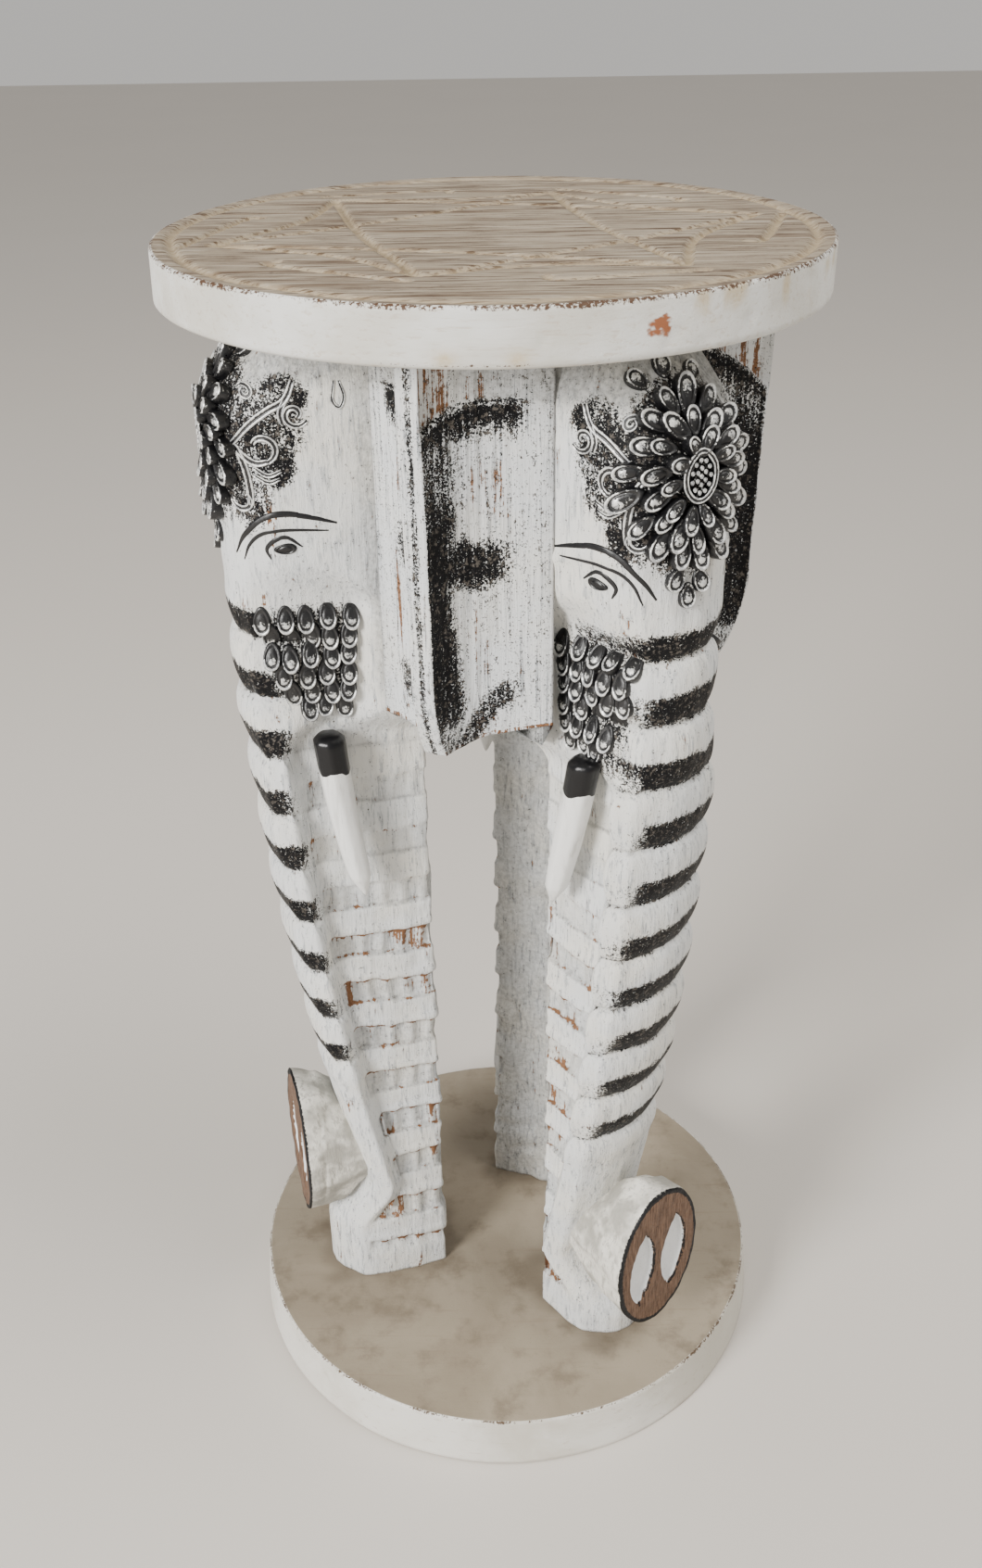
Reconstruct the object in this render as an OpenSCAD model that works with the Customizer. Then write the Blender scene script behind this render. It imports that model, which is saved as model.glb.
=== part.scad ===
// Carved elephant pedestal: a round top and a round base joined by three
// elephant heads, whose trunks run down as the legs.
// Z is up, the origin is the centre of the base's underside. A head's own frame
// has +X straight out from the pedestal's axis and +Y to the head's left.

/* [Overall] */
// Height from the floor to the top face
total_h = 500; // [450:5:550]
// Diameter of the round top
top_d = 235; // [228:1:260]
// Thickness of the round top
top_t = 18; // [16:1:24]
// Diameter of the base at its top edge
base_d = 236; // [230:1:260]
// How much wider the base is at the floor, on diameter
base_flare = 4; // [0:1:8]
// Thickness of the base
base_t = 25; // [20:1:30]

/* [Carved ring in the top] */
// Distance from the rim to the ring groove
groove_inset = 6; // [4:1:12]
// Width of the ring groove
groove_w = 3; // [2:0.5:5]
// Depth of the ring groove
groove_depth = 1.2; // [0.5:0.1:2]

/* [Heads] */
// Bearing of each head, turned from the front of the pedestal
head_bearings = [-78, 41, 161];
// How far the trunk's root stands out from the pedestal's axis
head_front = 104; // [100:1:106]
// Half width of a head across the brow
brow_half_w = 28; // [26:1:30]
// Half width of the cheek above the tusk
cheek_half_w = 19; // [18:1:21]
// Height of the underside of the cheeks
cheek_z = 331; // [326:1:336]
// Height of the brow, where the rings of the trunk begin
brow_z = 385; // [380:1:390]
// Radius of the rosette on the forehead
rosette_r = 28; // [24:1:30]
// How far the rosette stands proud
rosette_h = 3; // [1:0.5:4]
// How far each rosette sits from the middle of its forehead, to the head's left
rosette_shifts = [0, -5, 0];

/* [Trunks] */
// Height of the uppermost groove between rings, for each head
ring_tops = [363, 372, 367];
// Height of one ring
ring_pitch = 25.3; // [24:0.1:27]
// Depth of the groove between two rings
ring_depth = 2.5; // [1:0.5:4]
// How far the trunk has drawn back where the tip block starts
trunk_droop = 20; // [16:1:22]
// Half width of the ringed front of the trunk
trunk_half_w = 24; // [20:1:25]
// Half width of the flat sides behind the rings
trunk_side_half_w = 17; // [16:0.5:18]
// Half width of the foot where it stands on the base
foot_half_w = 20; // [18:1:21]
// Distance from the pedestal's axis to the back of the trunks
trunk_back = 33; // [30:1:36]
// Size of the cut at the right back corner of each trunk
back_cuts = [1, 15, 1];
// How far the foot stands out from the pedestal's axis
foot_front = 87; // [84:1:90]

/* [Trunk tips] */
// Height of the middle of each tip
tip_heights = [100, 82, 91];
// Half width of the oval end face
tip_half_w = 24; // [20:1:26]
// Half height of the oval end face
tip_half_h = 38; // [34:1:40]
// How far the end face stands out from the pedestal's axis
tip_front = 102; // [98:1:106]
// Depth of the nostrils
nostril_depth = 3; // [1:0.5:5]

/* [Ears] */
// Front end of the joint between a head and its left ear, from the pedestal's axis
ear_root_left = 50; // [46:1:56]
// Front end of the joint between a head and its right ear, from the pedestal's axis
ear_root_right = 64; // [50:1:68]
// Distance of each ear ridge from the pedestal's axis, at its top
ridge_tops = [87, 105, 98];
// How far a ridge leans in towards its foot
ridge_lean = 6; // [0:1:10]
// Height of the lower edge of the ears
ear_z = 331; // [326:1:336]
// Width of the pale strip along an ear's outer edge
ear_edge_w = 4; // [3:0.5:6]
// How deep the face of an ear is hollowed
ear_hollow = 7; // [3:0.5:9]
// Depth of the step over the ear's rounded top
ear_step = 3; // [1:0.5:4]

/* [Tusks] */
// Radius of a tusk at its root
tusk_r = 6; // [5:0.5:7]
// Radius of a tusk near its tip
tusk_tip_r = 3.5; // [2:0.5:4]
// Height of the roots of each head's tusks
tusk_tops = [321, 328, 325];
// Distance of each head's tusk roots from the pedestal's axis
tusk_roots = [72, 76, 74];
// How far the tips of each head's tusks lie behind their roots
tusk_leans = [10, 14, 12];
// Length of each head's tusks
tusk_lens = [71, 66, 69];

/* [Pegs and screws] */
// Radius of the dowels between the heads and the top
top_dowel_r = 4; // [3:0.5:5]
// Radius of the dowels in the ears, the tusks and the trunk tips
small_dowel_r = 3; // [2:0.5:3]
// Radius of a base screw's shank
screw_r = 2; // [1.5:0.5:2.5]
// Radius of a base screw's countersunk head
screw_head_r = 4.5; // [4:0.5:5]
// Length of a base screw
screw_len = 50; // [45:5:60]

/* [Hidden] */
$fn = 64;

HEADS = [0, 1, 2];
SIDES = [1, -1];

white = "gainsboro";
grey = "silver";
dark = "dimgray";
brown = "peru";

top_z = total_h - top_t;      // underside of the round top
head_back = 20;               // back of a head block
crown_drop = 20;              // height of the rounded crown under the top
crown_in = 16;                // how far the crown draws back
neck_z = 320;                 // where a head block ends and the trunk goes on
block_x = 54;                 // front of the wide block behind the cheeks
cheek_back = 59;              // back of the cheek's underside
brow_x = 74;                  // where the brow begins to draw in
rosette_z = 437;              // height of the rosette's middle
rosette_x = 103;              // how far the rosette's back lies from the axis
tip_seat = 80;                // flat seat on the trunk behind the tip
ring_back = 82;               // where the rings end and the flat sides begin
tusk_spread = 3;              // how far a tusk's tip lies outside its root
tusk_gap = 2;                 // room between a tusk and the side of the trunk
tusk_y = trunk_side_half_w + tusk_r + tusk_gap;
tusk_cap_h = 2;               // rounded upper end of a tusk
tusk_point = 9;               // height of the pointed end of a tusk
tusk_end_r = 0.6;
tusk_peg_len = 18;            // length of a tusk's peg, from the middle of the tusk
tusk_peg_drop = 7;            // how far below its root a tusk has its peg
foot_top = 150;               // where the foot has narrowed to the width of the trunk
ring_steps = 4;               // flats across one ring
ear_steps = 8;                // flats across the hollow of an ear
ear_corner = 12;              // size of the cut at an ear's lower corner
ear_arc_y = 45;               // middle and radius of the arc over an ear
ear_arc_z = 408;
ear_arc_r = 52;
ear_dowel_x = 32;
ear_dowel_z = [365, 450];
ear_dowel_in = 12;            // depth of an ear dowel in the head
ear_dowel_out = 8;            // depth of an ear dowel in the ear
top_dowel_x = [40, 72];
top_dowel_up = 9;
top_dowel_down = 22;
screw_x = [45, 68];
screw_head_h = 3;
screw_sunk = 1;               // how far a screw's head lies below the underside
tip_dowel_in = 14;
tip_dowel_out = 12;
edge_round = 1.5;             // worn edge of the two discs

// Turns a head's own frame to its place on the pedestal.
module at_head(i) {
    rotate([0, 0, head_bearings[i] - 90]) children();
}

// Bearing of the next head or the last head, seen from head i on the given side.
function gap_after(i) = (head_bearings[(i + 1) % 3] - head_bearings[i] + 360) % 360;
function gap_on(i, side) = side > 0 ? gap_after(i) : gap_after((i + 2) % 3);
function ridge_r(i, side) = side > 0 ? ridge_tops[i] : ridge_tops[(i + 2) % 3];

// Outline of the trunk's front, without the rings.
function droop_at(z) = trunk_droop * pow((brow_z - z) / (brow_z - 150), 2);
function trunk_x(z) = head_front - droop_at(z);
function ring_swell(t) = ring_depth * (sin(180 * t) - 1);
function ring_count(i) = floor((ring_tops[i] - tip_heights[i] - tip_half_h) / ring_pitch);
function ring_z(i, k, t) = ring_tops[i] - (k + t) * ring_pitch;
function ring_points(i) = [
    for (k = [0 : ring_count(i) - 1], s = [0 : ring_steps - 1])
        let (t = s / ring_steps, z = ring_z(i, k, t))
        [trunk_x(z) + ring_swell(t), z]
];

// An outline in X and Z, given a thickness across the head.
module slab(half_w, points) {
    translate([0, half_w, 0]) rotate([90, 0, 0])
        linear_extrude(2 * half_w) polygon(points);
}

// An outline in Y and Z, mirrored to both sides, run from x0 to x1.
module front_slab(x0, x1, points) {
    both = concat(points, [for (n = [len(points) - 1 : -1 : 0]) [-points[n][0], points[n][1]]]);
    translate([x0, 0, 0]) rotate([90, 0, 90]) linear_extrude(x1 - x0) polygon(both);
}

// An outline in X and Y, mirrored to both sides, run from z0 to z1.
module plan_slab(z0, z1, points) {
    both = concat(points, [for (n = [len(points) - 1 : -1 : 0]) [points[n][0], -points[n][1]]]);
    translate([0, 0, z0]) linear_extrude(z1 - z0) polygon(both);
}

// Plan of a trunk, its right back corner cut off.
function trunk_plan(cut) =
    let (
        back_w = trunk_side_half_w - 1,
        side = [
            [tip_seat - 10, foot_half_w], [head_front - 14, trunk_half_w],
            [head_front - 6, trunk_half_w - 5], [head_front, trunk_half_w - 12]
        ]
    )
    concat(
        [[trunk_back, back_w]], side, [[head_front + 1, 0]],
        [for (n = [len(side) - 1 : -1 : 0]) [side[n][0], -side[n][1]]],
        [[trunk_back + cut, -back_w - cut / 10], [trunk_back, cut - back_w]]
    );

// The trunk as a leg: side outline, front outline and plan outline together.
module trunk(i) {
    tip_low = tip_heights[i] - tip_half_h;
    tip_high = tip_heights[i] + tip_half_h;
    intersection() {
        slab(40, concat(
            [[trunk_back, base_t], [trunk_back, brow_z], [head_front - ring_depth, brow_z]],
            ring_points(i),
            [[trunk_x(tip_high) - ring_depth, tip_high], [tip_seat, tip_high],
             [tip_seat, tip_low], [foot_front, tip_low], [foot_front, base_t]]
        ));
        union() {
            front_slab(0, ring_back, [
                [0, base_t], [foot_half_w, base_t], [trunk_side_half_w, foot_top],
                [trunk_side_half_w, brow_z], [0, brow_z]
            ]);
            front_slab(ring_back, 120, [
                [0, base_t], [trunk_half_w - 4, base_t], [trunk_half_w - 2, foot_top],
                [trunk_half_w, brow_z - 100], [trunk_half_w, brow_z], [0, brow_z]
            ]);
        }
        linear_extrude(brow_z) polygon(trunk_plan(back_cuts[i]));
    }
}

// The head block above the trunk, with its crown, brow and cheeks.
module skull() {
    intersection() {
        slab(40, [
            [head_back, neck_z + 15], [head_back, top_z], [head_front - crown_in - 14, top_z],
            [head_front - crown_in + 4, top_z - crown_drop / 2], [head_front - 4, top_z - crown_drop - 8],
            [head_front, top_z - crown_drop - 30], [head_front, brow_z],
            [trunk_x(cheek_z) - 4, cheek_z], [cheek_back, cheek_z - 4], [trunk_back + 12, neck_z]
        ]);
        plan_slab(0, top_z, [
            [head_back, 0], [head_back, brow_half_w + 2], [ear_root_right, brow_half_w + 2],
            [brow_x, brow_half_w], [head_front - 22, brow_half_w - 1], [head_front - 8, brow_half_w - 7],
            [head_front, brow_half_w - 18], [head_front + 1, 0]
        ]);
        union() {
            front_slab(block_x, 120, [
                [0, neck_z], [cheek_half_w - 1, neck_z], [cheek_half_w, cheek_z],
                [cheek_half_w + 1, brow_z - 12], [brow_half_w + 2, brow_z + 8],
                [brow_half_w + 2, top_z], [0, top_z]
            ]);
            front_slab(0, block_x, [
                [0, neck_z], [trunk_side_half_w + 1, neck_z], [brow_half_w + 2, cheek_z],
                [brow_half_w + 2, top_z], [0, top_z]
            ]);
        }
    }
}

// The raised disc that carries the forehead's petals.
module rosette(shift) {
    translate([rosette_x - 6, shift, rosette_z]) rotate([0, 90, 0])
        cylinder(r = rosette_r, h = 6 + rosette_h);
}

module peg(r, h) {
    cylinder(r = r, h = h);
}

// Holes for the dowels to the top, and for the screws through the base.
module head_end_holes() {
    for (x = top_dowel_x) translate([x, 0, top_z - top_dowel_down]) peg(top_dowel_r, top_dowel_down + 1);
    for (x = screw_x) translate([x, 0, base_t - 1]) peg(screw_r, screw_len - base_t + 1);
}

module ear_dowel_holes(side) {
    for (z = ear_dowel_z)
        translate([ear_dowel_x, side * (ear_root_y - ear_dowel_in), z]) rotate([-90 * side, 0, 0])
            peg(small_dowel_r, ear_dowel_in + 1);
}

module head(i) {
    color(white) at_head(i) difference() {
        union() {
            trunk(i);
            skull();
            rosette(rosette_shifts[i]);
        }
        head_end_holes();
        for (side = SIDES) {
            ear_dowel_holes(side);
            tusk_peg(i, side);
        }
        translate([tip_seat - tip_dowel_in, 0, tip_heights[i]]) rotate([0, 90, 0])
            peg(small_dowel_r, tip_dowel_in + 1);
    }
}

// Plan of one ear in its head's frame: root on the head, hollow face, outer edge
// and the flat back that is glued to the next head's ear.
ear_root_y = brow_half_w + 2;
function ear_tip(half_gap, r) = r * [cos(half_gap), sin(half_gap)];
function ear_face(half_gap, r, root_x) =
    let (
        root = [root_x, ear_root_y],
        tip = ear_tip(half_gap, r) + ear_edge_w * [sin(half_gap), -cos(half_gap)]
    )
    [for (s = [0 : ear_steps])
        let (t = s / ear_steps)
        root + (tip - root) * t - [ear_hollow * sin(180 * t), 0]];
function ear_plan(half_gap, r, root_x) = concat(
    [[ear_root_y / tan(half_gap), ear_root_y]], ear_face(half_gap, r, root_x), [ear_tip(half_gap, r)]
);

// Outline of an ear seen square to its ridge: leaning edge and cut lower corner.
module ear_outline(half_gap, r) {
    rotate([0, 0, half_gap]) slab(90, [
        [0, ear_z], [r - ridge_lean - ear_corner, ear_z], [r - ridge_lean, ear_z + ear_corner],
        [r, top_z], [0, top_z]
    ]);
}

module ear(i, side) {
    half_gap = gap_on(i, side) / 2;
    r = ridge_r(i, side);
    root_x = side > 0 ? ear_root_left : ear_root_right;
    color(grey) at_head(i) on_side(side) difference() {
        intersection() {
            translate([0, 0, ear_z]) linear_extrude(top_z - ear_z)
                polygon(ear_plan(half_gap, r, root_x));
            ear_outline(half_gap, r);
        }
        ear_top_step(half_gap, r, root_x);
        for (z = ear_dowel_z)
            translate([ear_dowel_x, ear_root_y - 1, z]) rotate([-90, 0, 0])
                peg(small_dowel_r, ear_dowel_out + 1);
    }
}

// Mirrors what is drawn for the head's left side to its right side.
module on_side(side) {
    if (side > 0) children();
    else mirror([0, 1, 0]) children();
}

// The wood over the ear's rounded top lies a step behind its face.
module ear_top_step(half_gap, r, root_x) {
    face = [for (p = ear_face(half_gap, r, root_x)) p - [ear_step, 0]];
    last = len(face) - 1;
    difference() {
        translate([0, 0, ear_arc_z]) linear_extrude(total_h) polygon(concat(
            [[120, ear_root_y], face[0]], face, [face[last] + [0, 20], [120, r]]
        ));
        translate([0, ear_arc_y, ear_arc_z]) rotate([0, 90, 0]) cylinder(r = ear_arc_r, h = 200);
    }
}

// The round peg on a tusk, which sits in the side of the trunk.
module tusk_peg(i, side) {
    translate([tusk_roots[i] - 1, side * (tusk_y - tusk_peg_len), tusk_tops[i] - tusk_peg_drop])
        rotate([-90 * side, 0, 0]) peg(small_dowel_r, tusk_peg_len);
}

// A tusk runs along its own axis, from its root down to its tip.
module tusk(i, side) {
    length = tusk_lens[i];
    color("whitesmoke") at_head(i) {
        translate([tusk_roots[i], side * tusk_y, tusk_tops[i]])
            rotate([-side * atan(tusk_spread / length), 180 + atan(tusk_leans[i] / length), 0]) {
                translate([0, 0, -tusk_cap_h]) cylinder(r1 = tusk_r - 1.5, r2 = tusk_r, h = tusk_cap_h);
                cylinder(r1 = tusk_r, r2 = tusk_tip_r, h = length - tusk_point);
                translate([0, 0, length - tusk_point])
                    cylinder(r1 = tusk_tip_r, r2 = tusk_end_r, h = tusk_point);
            }
        tusk_peg(i, side);
    }
}

// An oval block across X, its two nostrils cut into the end face.
module tip_block(length) {
    steps = 32;
    rotate([90, 0, 90]) linear_extrude(length) polygon([
        for (s = [0 : steps - 1])
            let (a = 360 * s / steps)
            [tip_half_w * cos(a), tip_half_h * sin(a)]
    ]);
}

// An almond: where two wide circles overlap.
module nostril(side) {
    half_h = tip_half_h * 0.58;
    half_w = tip_half_w * 0.33;
    bow = (half_h * half_h + half_w * half_w) / (2 * half_w);
    translate([tip_front - nostril_depth, side * tip_half_w * 0.4, -2]) rotate([0, 90, 0])
        intersection() {
            translate([0, bow - half_w, 0]) cylinder(r = bow, h = nostril_depth + 1);
            translate([0, half_w - bow, 0]) cylinder(r = bow, h = nostril_depth + 1);
        }
}

module trunk_tip(i) {
    color(white) at_head(i) translate([0, 0, tip_heights[i]]) difference() {
        translate([tip_seat, 0, 0]) tip_block(tip_front - tip_seat);
        for (side = SIDES) nostril(side);
        translate([tip_seat - 1, 0, 0]) rotate([0, 90, 0]) peg(small_dowel_r, tip_dowel_out + 1);
    }
}

module top_disc() {
    r = top_d / 2;
    groove_r = r - groove_inset;
    color(white) difference() {
        union() {
            translate([0, 0, top_z]) cylinder(r = r, h = top_t - edge_round);
            translate([0, 0, total_h - edge_round])
                cylinder(r1 = r, r2 = r - edge_round, h = edge_round);
        }
        translate([0, 0, total_h - groove_depth]) difference() {
            cylinder(r = groove_r, h = groove_depth + 1);
            translate([0, 0, -1]) cylinder(r = groove_r - groove_w, h = groove_depth + 3);
        }
        for (i = HEADS, x = top_dowel_x)
            at_head(i) translate([x, 0, top_z - 1]) peg(top_dowel_r, top_dowel_up + 1);
    }
}

module base_disc() {
    r = base_d / 2;
    color(white) difference() {
        union() {
            cylinder(r1 = r + base_flare / 2, r2 = r, h = base_t - edge_round);
            translate([0, 0, base_t - edge_round])
                cylinder(r1 = r, r2 = r - edge_round, h = edge_round);
        }
        for (i = HEADS, x = screw_x)
            at_head(i) translate([x, 0, 0]) {
                translate([0, 0, -1]) peg(screw_r, base_t + 2);
                translate([0, 0, -1]) peg(screw_head_r, screw_sunk + 1);
                translate([0, 0, screw_sunk])
                    cylinder(r1 = screw_head_r, r2 = screw_r, h = screw_head_h);
            }
    }
}

module top_dowels() {
    color(brown) for (i = HEADS, x = top_dowel_x)
        at_head(i) translate([x, 0, top_z - top_dowel_down])
            peg(top_dowel_r, top_dowel_down + top_dowel_up);
}

module base_screws() {
    color(dark) for (i = HEADS, x = screw_x)
        at_head(i) translate([x, 0, screw_sunk]) {
            cylinder(r1 = screw_head_r, r2 = screw_r, h = screw_head_h);
            translate([0, 0, screw_head_h]) cylinder(r = screw_r, h = screw_len - screw_head_h - screw_sunk);
        }
}

module ear_dowels() {
    color(brown) for (i = HEADS, side = SIDES, z = ear_dowel_z)
        at_head(i) translate([ear_dowel_x, side * (ear_root_y - ear_dowel_in), z])
            rotate([-90 * side, 0, 0]) peg(small_dowel_r, ear_dowel_in + ear_dowel_out);
}

module tip_dowels() {
    color(brown) for (i = HEADS)
        at_head(i) translate([tip_seat - tip_dowel_in, 0, tip_heights[i]]) rotate([0, 90, 0])
            peg(small_dowel_r, tip_dowel_in + tip_dowel_out);
}

top_disc();
base_disc();
head(0);  // head_1
head(1);  // head_2
head(2);  // head_3
ear(0, 1);  // ear_1_left
ear(0, -1);  // ear_1_right
ear(1, 1);  // ear_2_left
ear(1, -1);  // ear_2_right
ear(2, 1);  // ear_3_left
ear(2, -1);  // ear_3_right
tusk(0, 1);  // tusk_1_left
tusk(0, -1);  // tusk_1_right
tusk(1, 1);  // tusk_2_left
tusk(1, -1);  // tusk_2_right
tusk(2, 1);  // tusk_3_left
tusk(2, -1);  // tusk_3_right
trunk_tip(0);  // trunk_tip_1
trunk_tip(1);  // trunk_tip_2
trunk_tip(2);  // trunk_tip_3
top_dowels();
base_screws();
ear_dowels();
tip_dowels();
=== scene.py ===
import math

import bpy
import numpy as np
from bpy.props import FloatProperty, FloatVectorProperty, IntProperty, PointerProperty
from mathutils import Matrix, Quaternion, Vector
from mathutils.bvhtree import BVHTree


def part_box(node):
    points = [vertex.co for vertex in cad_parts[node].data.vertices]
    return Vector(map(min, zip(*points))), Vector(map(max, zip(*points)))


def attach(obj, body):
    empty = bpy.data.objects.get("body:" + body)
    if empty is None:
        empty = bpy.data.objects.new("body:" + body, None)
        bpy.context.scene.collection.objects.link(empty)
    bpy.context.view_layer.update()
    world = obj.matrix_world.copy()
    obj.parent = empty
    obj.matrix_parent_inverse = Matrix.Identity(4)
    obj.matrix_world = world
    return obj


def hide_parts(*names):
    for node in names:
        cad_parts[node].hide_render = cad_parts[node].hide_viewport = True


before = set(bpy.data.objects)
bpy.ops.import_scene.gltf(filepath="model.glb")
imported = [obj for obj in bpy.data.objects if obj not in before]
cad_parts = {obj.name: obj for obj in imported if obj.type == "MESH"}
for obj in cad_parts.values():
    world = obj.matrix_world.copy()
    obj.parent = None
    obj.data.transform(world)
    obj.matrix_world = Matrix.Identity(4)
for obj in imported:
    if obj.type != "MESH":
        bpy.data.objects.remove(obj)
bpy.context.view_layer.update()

bl_info = {
    "name": "Carved elephant pedestal",
    "version": (1, 0, 0),
    "blender": (4, 5, 0),
    "location": "3D View > Sidebar > Pedestal",
    "description": "Builds a whitewashed pedestal of three carved elephant heads",
    "category": "Add Mesh",
}

MM = 0.001
HEADS = (1, 2, 3)
SIDES = {"left": 1, "right": -1}


def mm_box(node):
    """Lowest and highest corner of a CAD node, in millimetres."""
    low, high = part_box(node)
    return np.array(low) / MM, np.array(high) / MM


TOP_LOW, TOP_HIGH = mm_box("top_disc")
BASE_LOW, BASE_HIGH = mm_box("base_disc")
TOP_R = (TOP_HIGH[0] - TOP_LOW[0]) / 2
BASE_R = (BASE_HIGH[0] - BASE_LOW[0]) / 2
TOP_Z, TOP_UNDER, BASE_Z = TOP_HIGH[2], TOP_LOW[2], BASE_HIGH[2]


def tip_place(i):
    """Bearing in radians from the front, height and half height of a trunk's tip block."""
    low, high = mm_box(f"trunk_tip_{i}")
    middle = (low + high) / 2
    return math.atan2(middle[0], -middle[1]), middle[2], (high[2] - low[2]) / 2


# ---------------------------------------------------------------- settings


class PedestalSizes(bpy.types.PropertyGroup):
    """Sizes of the carving, in metres."""

    ring_pitch: FloatProperty(
        name="Ring pitch", description="Height of one ring of a trunk", default=0.0253, unit="LENGTH"
    )
    ring_depth: FloatProperty(
        name="Ring depth", description="Depth of the groove under a ring", default=0.0038, unit="LENGTH"
    )
    band_depth: FloatProperty(
        name="Band depth", description="Depth of the gouged bands on a trunk's sides", default=0.0018,
        unit="LENGTH",
    )
    chisel: FloatProperty(
        name="Chisel marks", description="Height of the chisel marks in the wood", default=0.0008,
        unit="LENGTH",
    )
    groove_depth: FloatProperty(
        name="Groove depth", description="Depth of the star cut into the top", default=0.0018,
        unit="LENGTH",
    )
    groove_width: FloatProperty(
        name="Groove width", description="Width of the grooves cut into the top", default=0.0036,
        unit="LENGTH",
    )
    star_points: IntProperty(
        name="Star points", description="Points of the star cut into the top", default=6, min=4, max=8
    )
    black_root: FloatProperty(
        name="Black root", description="Share of a tusk that is painted black", default=0.2, min=0, max=1
    )


class PedestalColours(bpy.types.PropertyGroup):
    """Paints and woods."""

    white: FloatVectorProperty(
        name="Whitewash", description="Cool white of the heads", default=(0.69, 0.71, 0.725),
        subtype="COLOR", min=0, max=1,
    )
    cream: FloatVectorProperty(
        name="Warm white", description="Warmer white of the rings", default=(0.76, 0.735, 0.665),
        subtype="COLOR", min=0, max=1,
    )
    wood: FloatVectorProperty(
        name="Bare wood", description="Wood where the paint has gone", default=(0.125, 0.062, 0.032),
        subtype="COLOR", min=0, max=1,
    )
    black: FloatVectorProperty(
        name="Black", description="Sponged and lined black paint", default=(0.005, 0.005, 0.006),
        subtype="COLOR", min=0, max=1,
    )
    top: FloatVectorProperty(
        name="Top", description="Rubbed wash on the top face", default=(0.36, 0.30, 0.225),
        subtype="COLOR", min=0, max=1,
    )
    base: FloatVectorProperty(
        name="Base", description="Thin wash on the base", default=(0.27, 0.225, 0.165),
        subtype="COLOR", min=0, max=1,
    )
    tusk: FloatVectorProperty(
        name="Tusk", description="Satin white of the tusks", default=(0.84, 0.84, 0.82),
        subtype="COLOR", min=0, max=1,
    )
    floor: FloatVectorProperty(
        name="Floor", description="Plain floor under the pedestal", default=(0.66, 0.62, 0.57),
        subtype="COLOR", min=0, max=1,
    )


def sizes():
    return bpy.context.scene.pedestal_sizes


def colour(name):
    return (*getattr(bpy.context.scene.pedestal_colours, name), 1.0)


# ------------------------------------------------------------ number tools


def ease(low, high, value):
    """0 at low, 1 at high, smooth between them."""
    t = np.clip((np.asarray(value, float) - low) / (high - low), 0.0, 1.0)
    return t * t * (3.0 - 2.0 * t)


def bump(low, high, soft, value):
    """1 between low and high, falling to 0 over soft on both sides."""
    return ease(low - soft, low + soft, value) * (1.0 - ease(high - soft, high + soft, value))


def lattice(x, y, z, seed):
    h = (x * 374761393 + y * 668265263 + z * 2246822519 + seed * 3266489917) & 0xFFFFFFFF
    h = ((h ^ (h >> 13)) * 1274126177) & 0xFFFFFFFF
    return ((h ^ (h >> 16)) & 0xFFFF) / 32767.5 - 1.0


def noise(x, y, z, seed=0):
    """Smooth noise from -1 to 1, one cell per unit."""
    x, y, z = np.broadcast_arrays(x, y, z)
    ix, iy, iz = (np.floor(v).astype(np.int64) for v in (x, y, z))
    fx, fy, fz = (ease(0, 1, v - np.floor(v)) for v in (x, y, z))
    total = 0.0
    for dx, dy, dz in np.ndindex(2, 2, 2):
        share = (fx if dx else 1 - fx) * (fy if dy else 1 - fy) * (fz if dz else 1 - fz)
        total = total + share * lattice(ix + dx, iy + dy, iz + dz, seed)
    return total


def rough_noise(x, y, z, seed=0):
    """Two sizes of noise together."""
    return 0.65 * noise(x, y, z, seed) + 0.35 * noise(2.3 * x, 2.3 * y, 2.3 * z, seed + 7)


def curve_through(points, count):
    """Smooth curve through a few points, as count points."""
    p = np.asarray(points, float)
    p = np.vstack([2 * p[0] - p[1], p, 2 * p[-1] - p[-2]])
    spans = len(p) - 3
    out = []
    for u in np.linspace(0, spans, count):
        k = min(int(u), spans - 1)
        t = u - k
        a, b, c, d = p[k : k + 4]
        square = 2 * a - 5 * b + 4 * c - d
        cube = 3 * b - a - 3 * c + d
        out.append(0.5 * (2 * b + (c - a) * t + square * t**2 + cube * t**3))
    return np.array(out)


# -------------------------------------------------------------- mesh tools


def add_piece(name, points, faces, marks=None, finishes=(), node=None):
    """A mesh piece from points in millimetres, riding on the pedestal."""
    mesh = bpy.data.meshes.new(name)
    mesh.from_pydata((np.asarray(points) * MM).tolist(), [], faces)
    mesh.validate()
    for label, values in (marks or {}).items():
        layer = mesh.attributes.new(label, "FLOAT", "POINT")
        layer.data.foreach_set("value", np.asarray(values, np.float32).ravel())
    for finish in finishes:
        mesh.materials.append(finish)
    mesh.polygons.foreach_set("use_smooth", [True] * len(mesh.polygons))
    piece = bpy.data.objects.new(name, mesh)
    bpy.context.scene.collection.objects.link(piece)
    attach(piece, "root")
    if node:
        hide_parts(node)
    return piece


def tube_faces(rows, columns, first=0):
    """Faces of a grid that closes round its columns, with a flat face at each end."""
    r, c = np.meshgrid(np.arange(rows - 1), np.arange(columns), indexing="ij")
    c2 = (c + 1) % columns
    quads = np.stack([r * columns + c, r * columns + c2, (r + 1) * columns + c2, (r + 1) * columns + c], -1)
    faces = (quads.reshape(-1, 4) + first).tolist()
    faces.append([first + k for k in range(columns)][::-1])
    faces.append([first + (rows - 1) * columns + k for k in range(columns)])
    return faces


def grid_normals(p):
    """Outward normals of a grid whose columns run anticlockwise and rows run up."""
    along = np.roll(p, -1, 1) - np.roll(p, 1, 1)
    up = np.gradient(p, axis=0)
    n = np.cross(along, up)
    return n / np.maximum(np.linalg.norm(n, axis=-1, keepdims=True), 1e-9)


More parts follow.
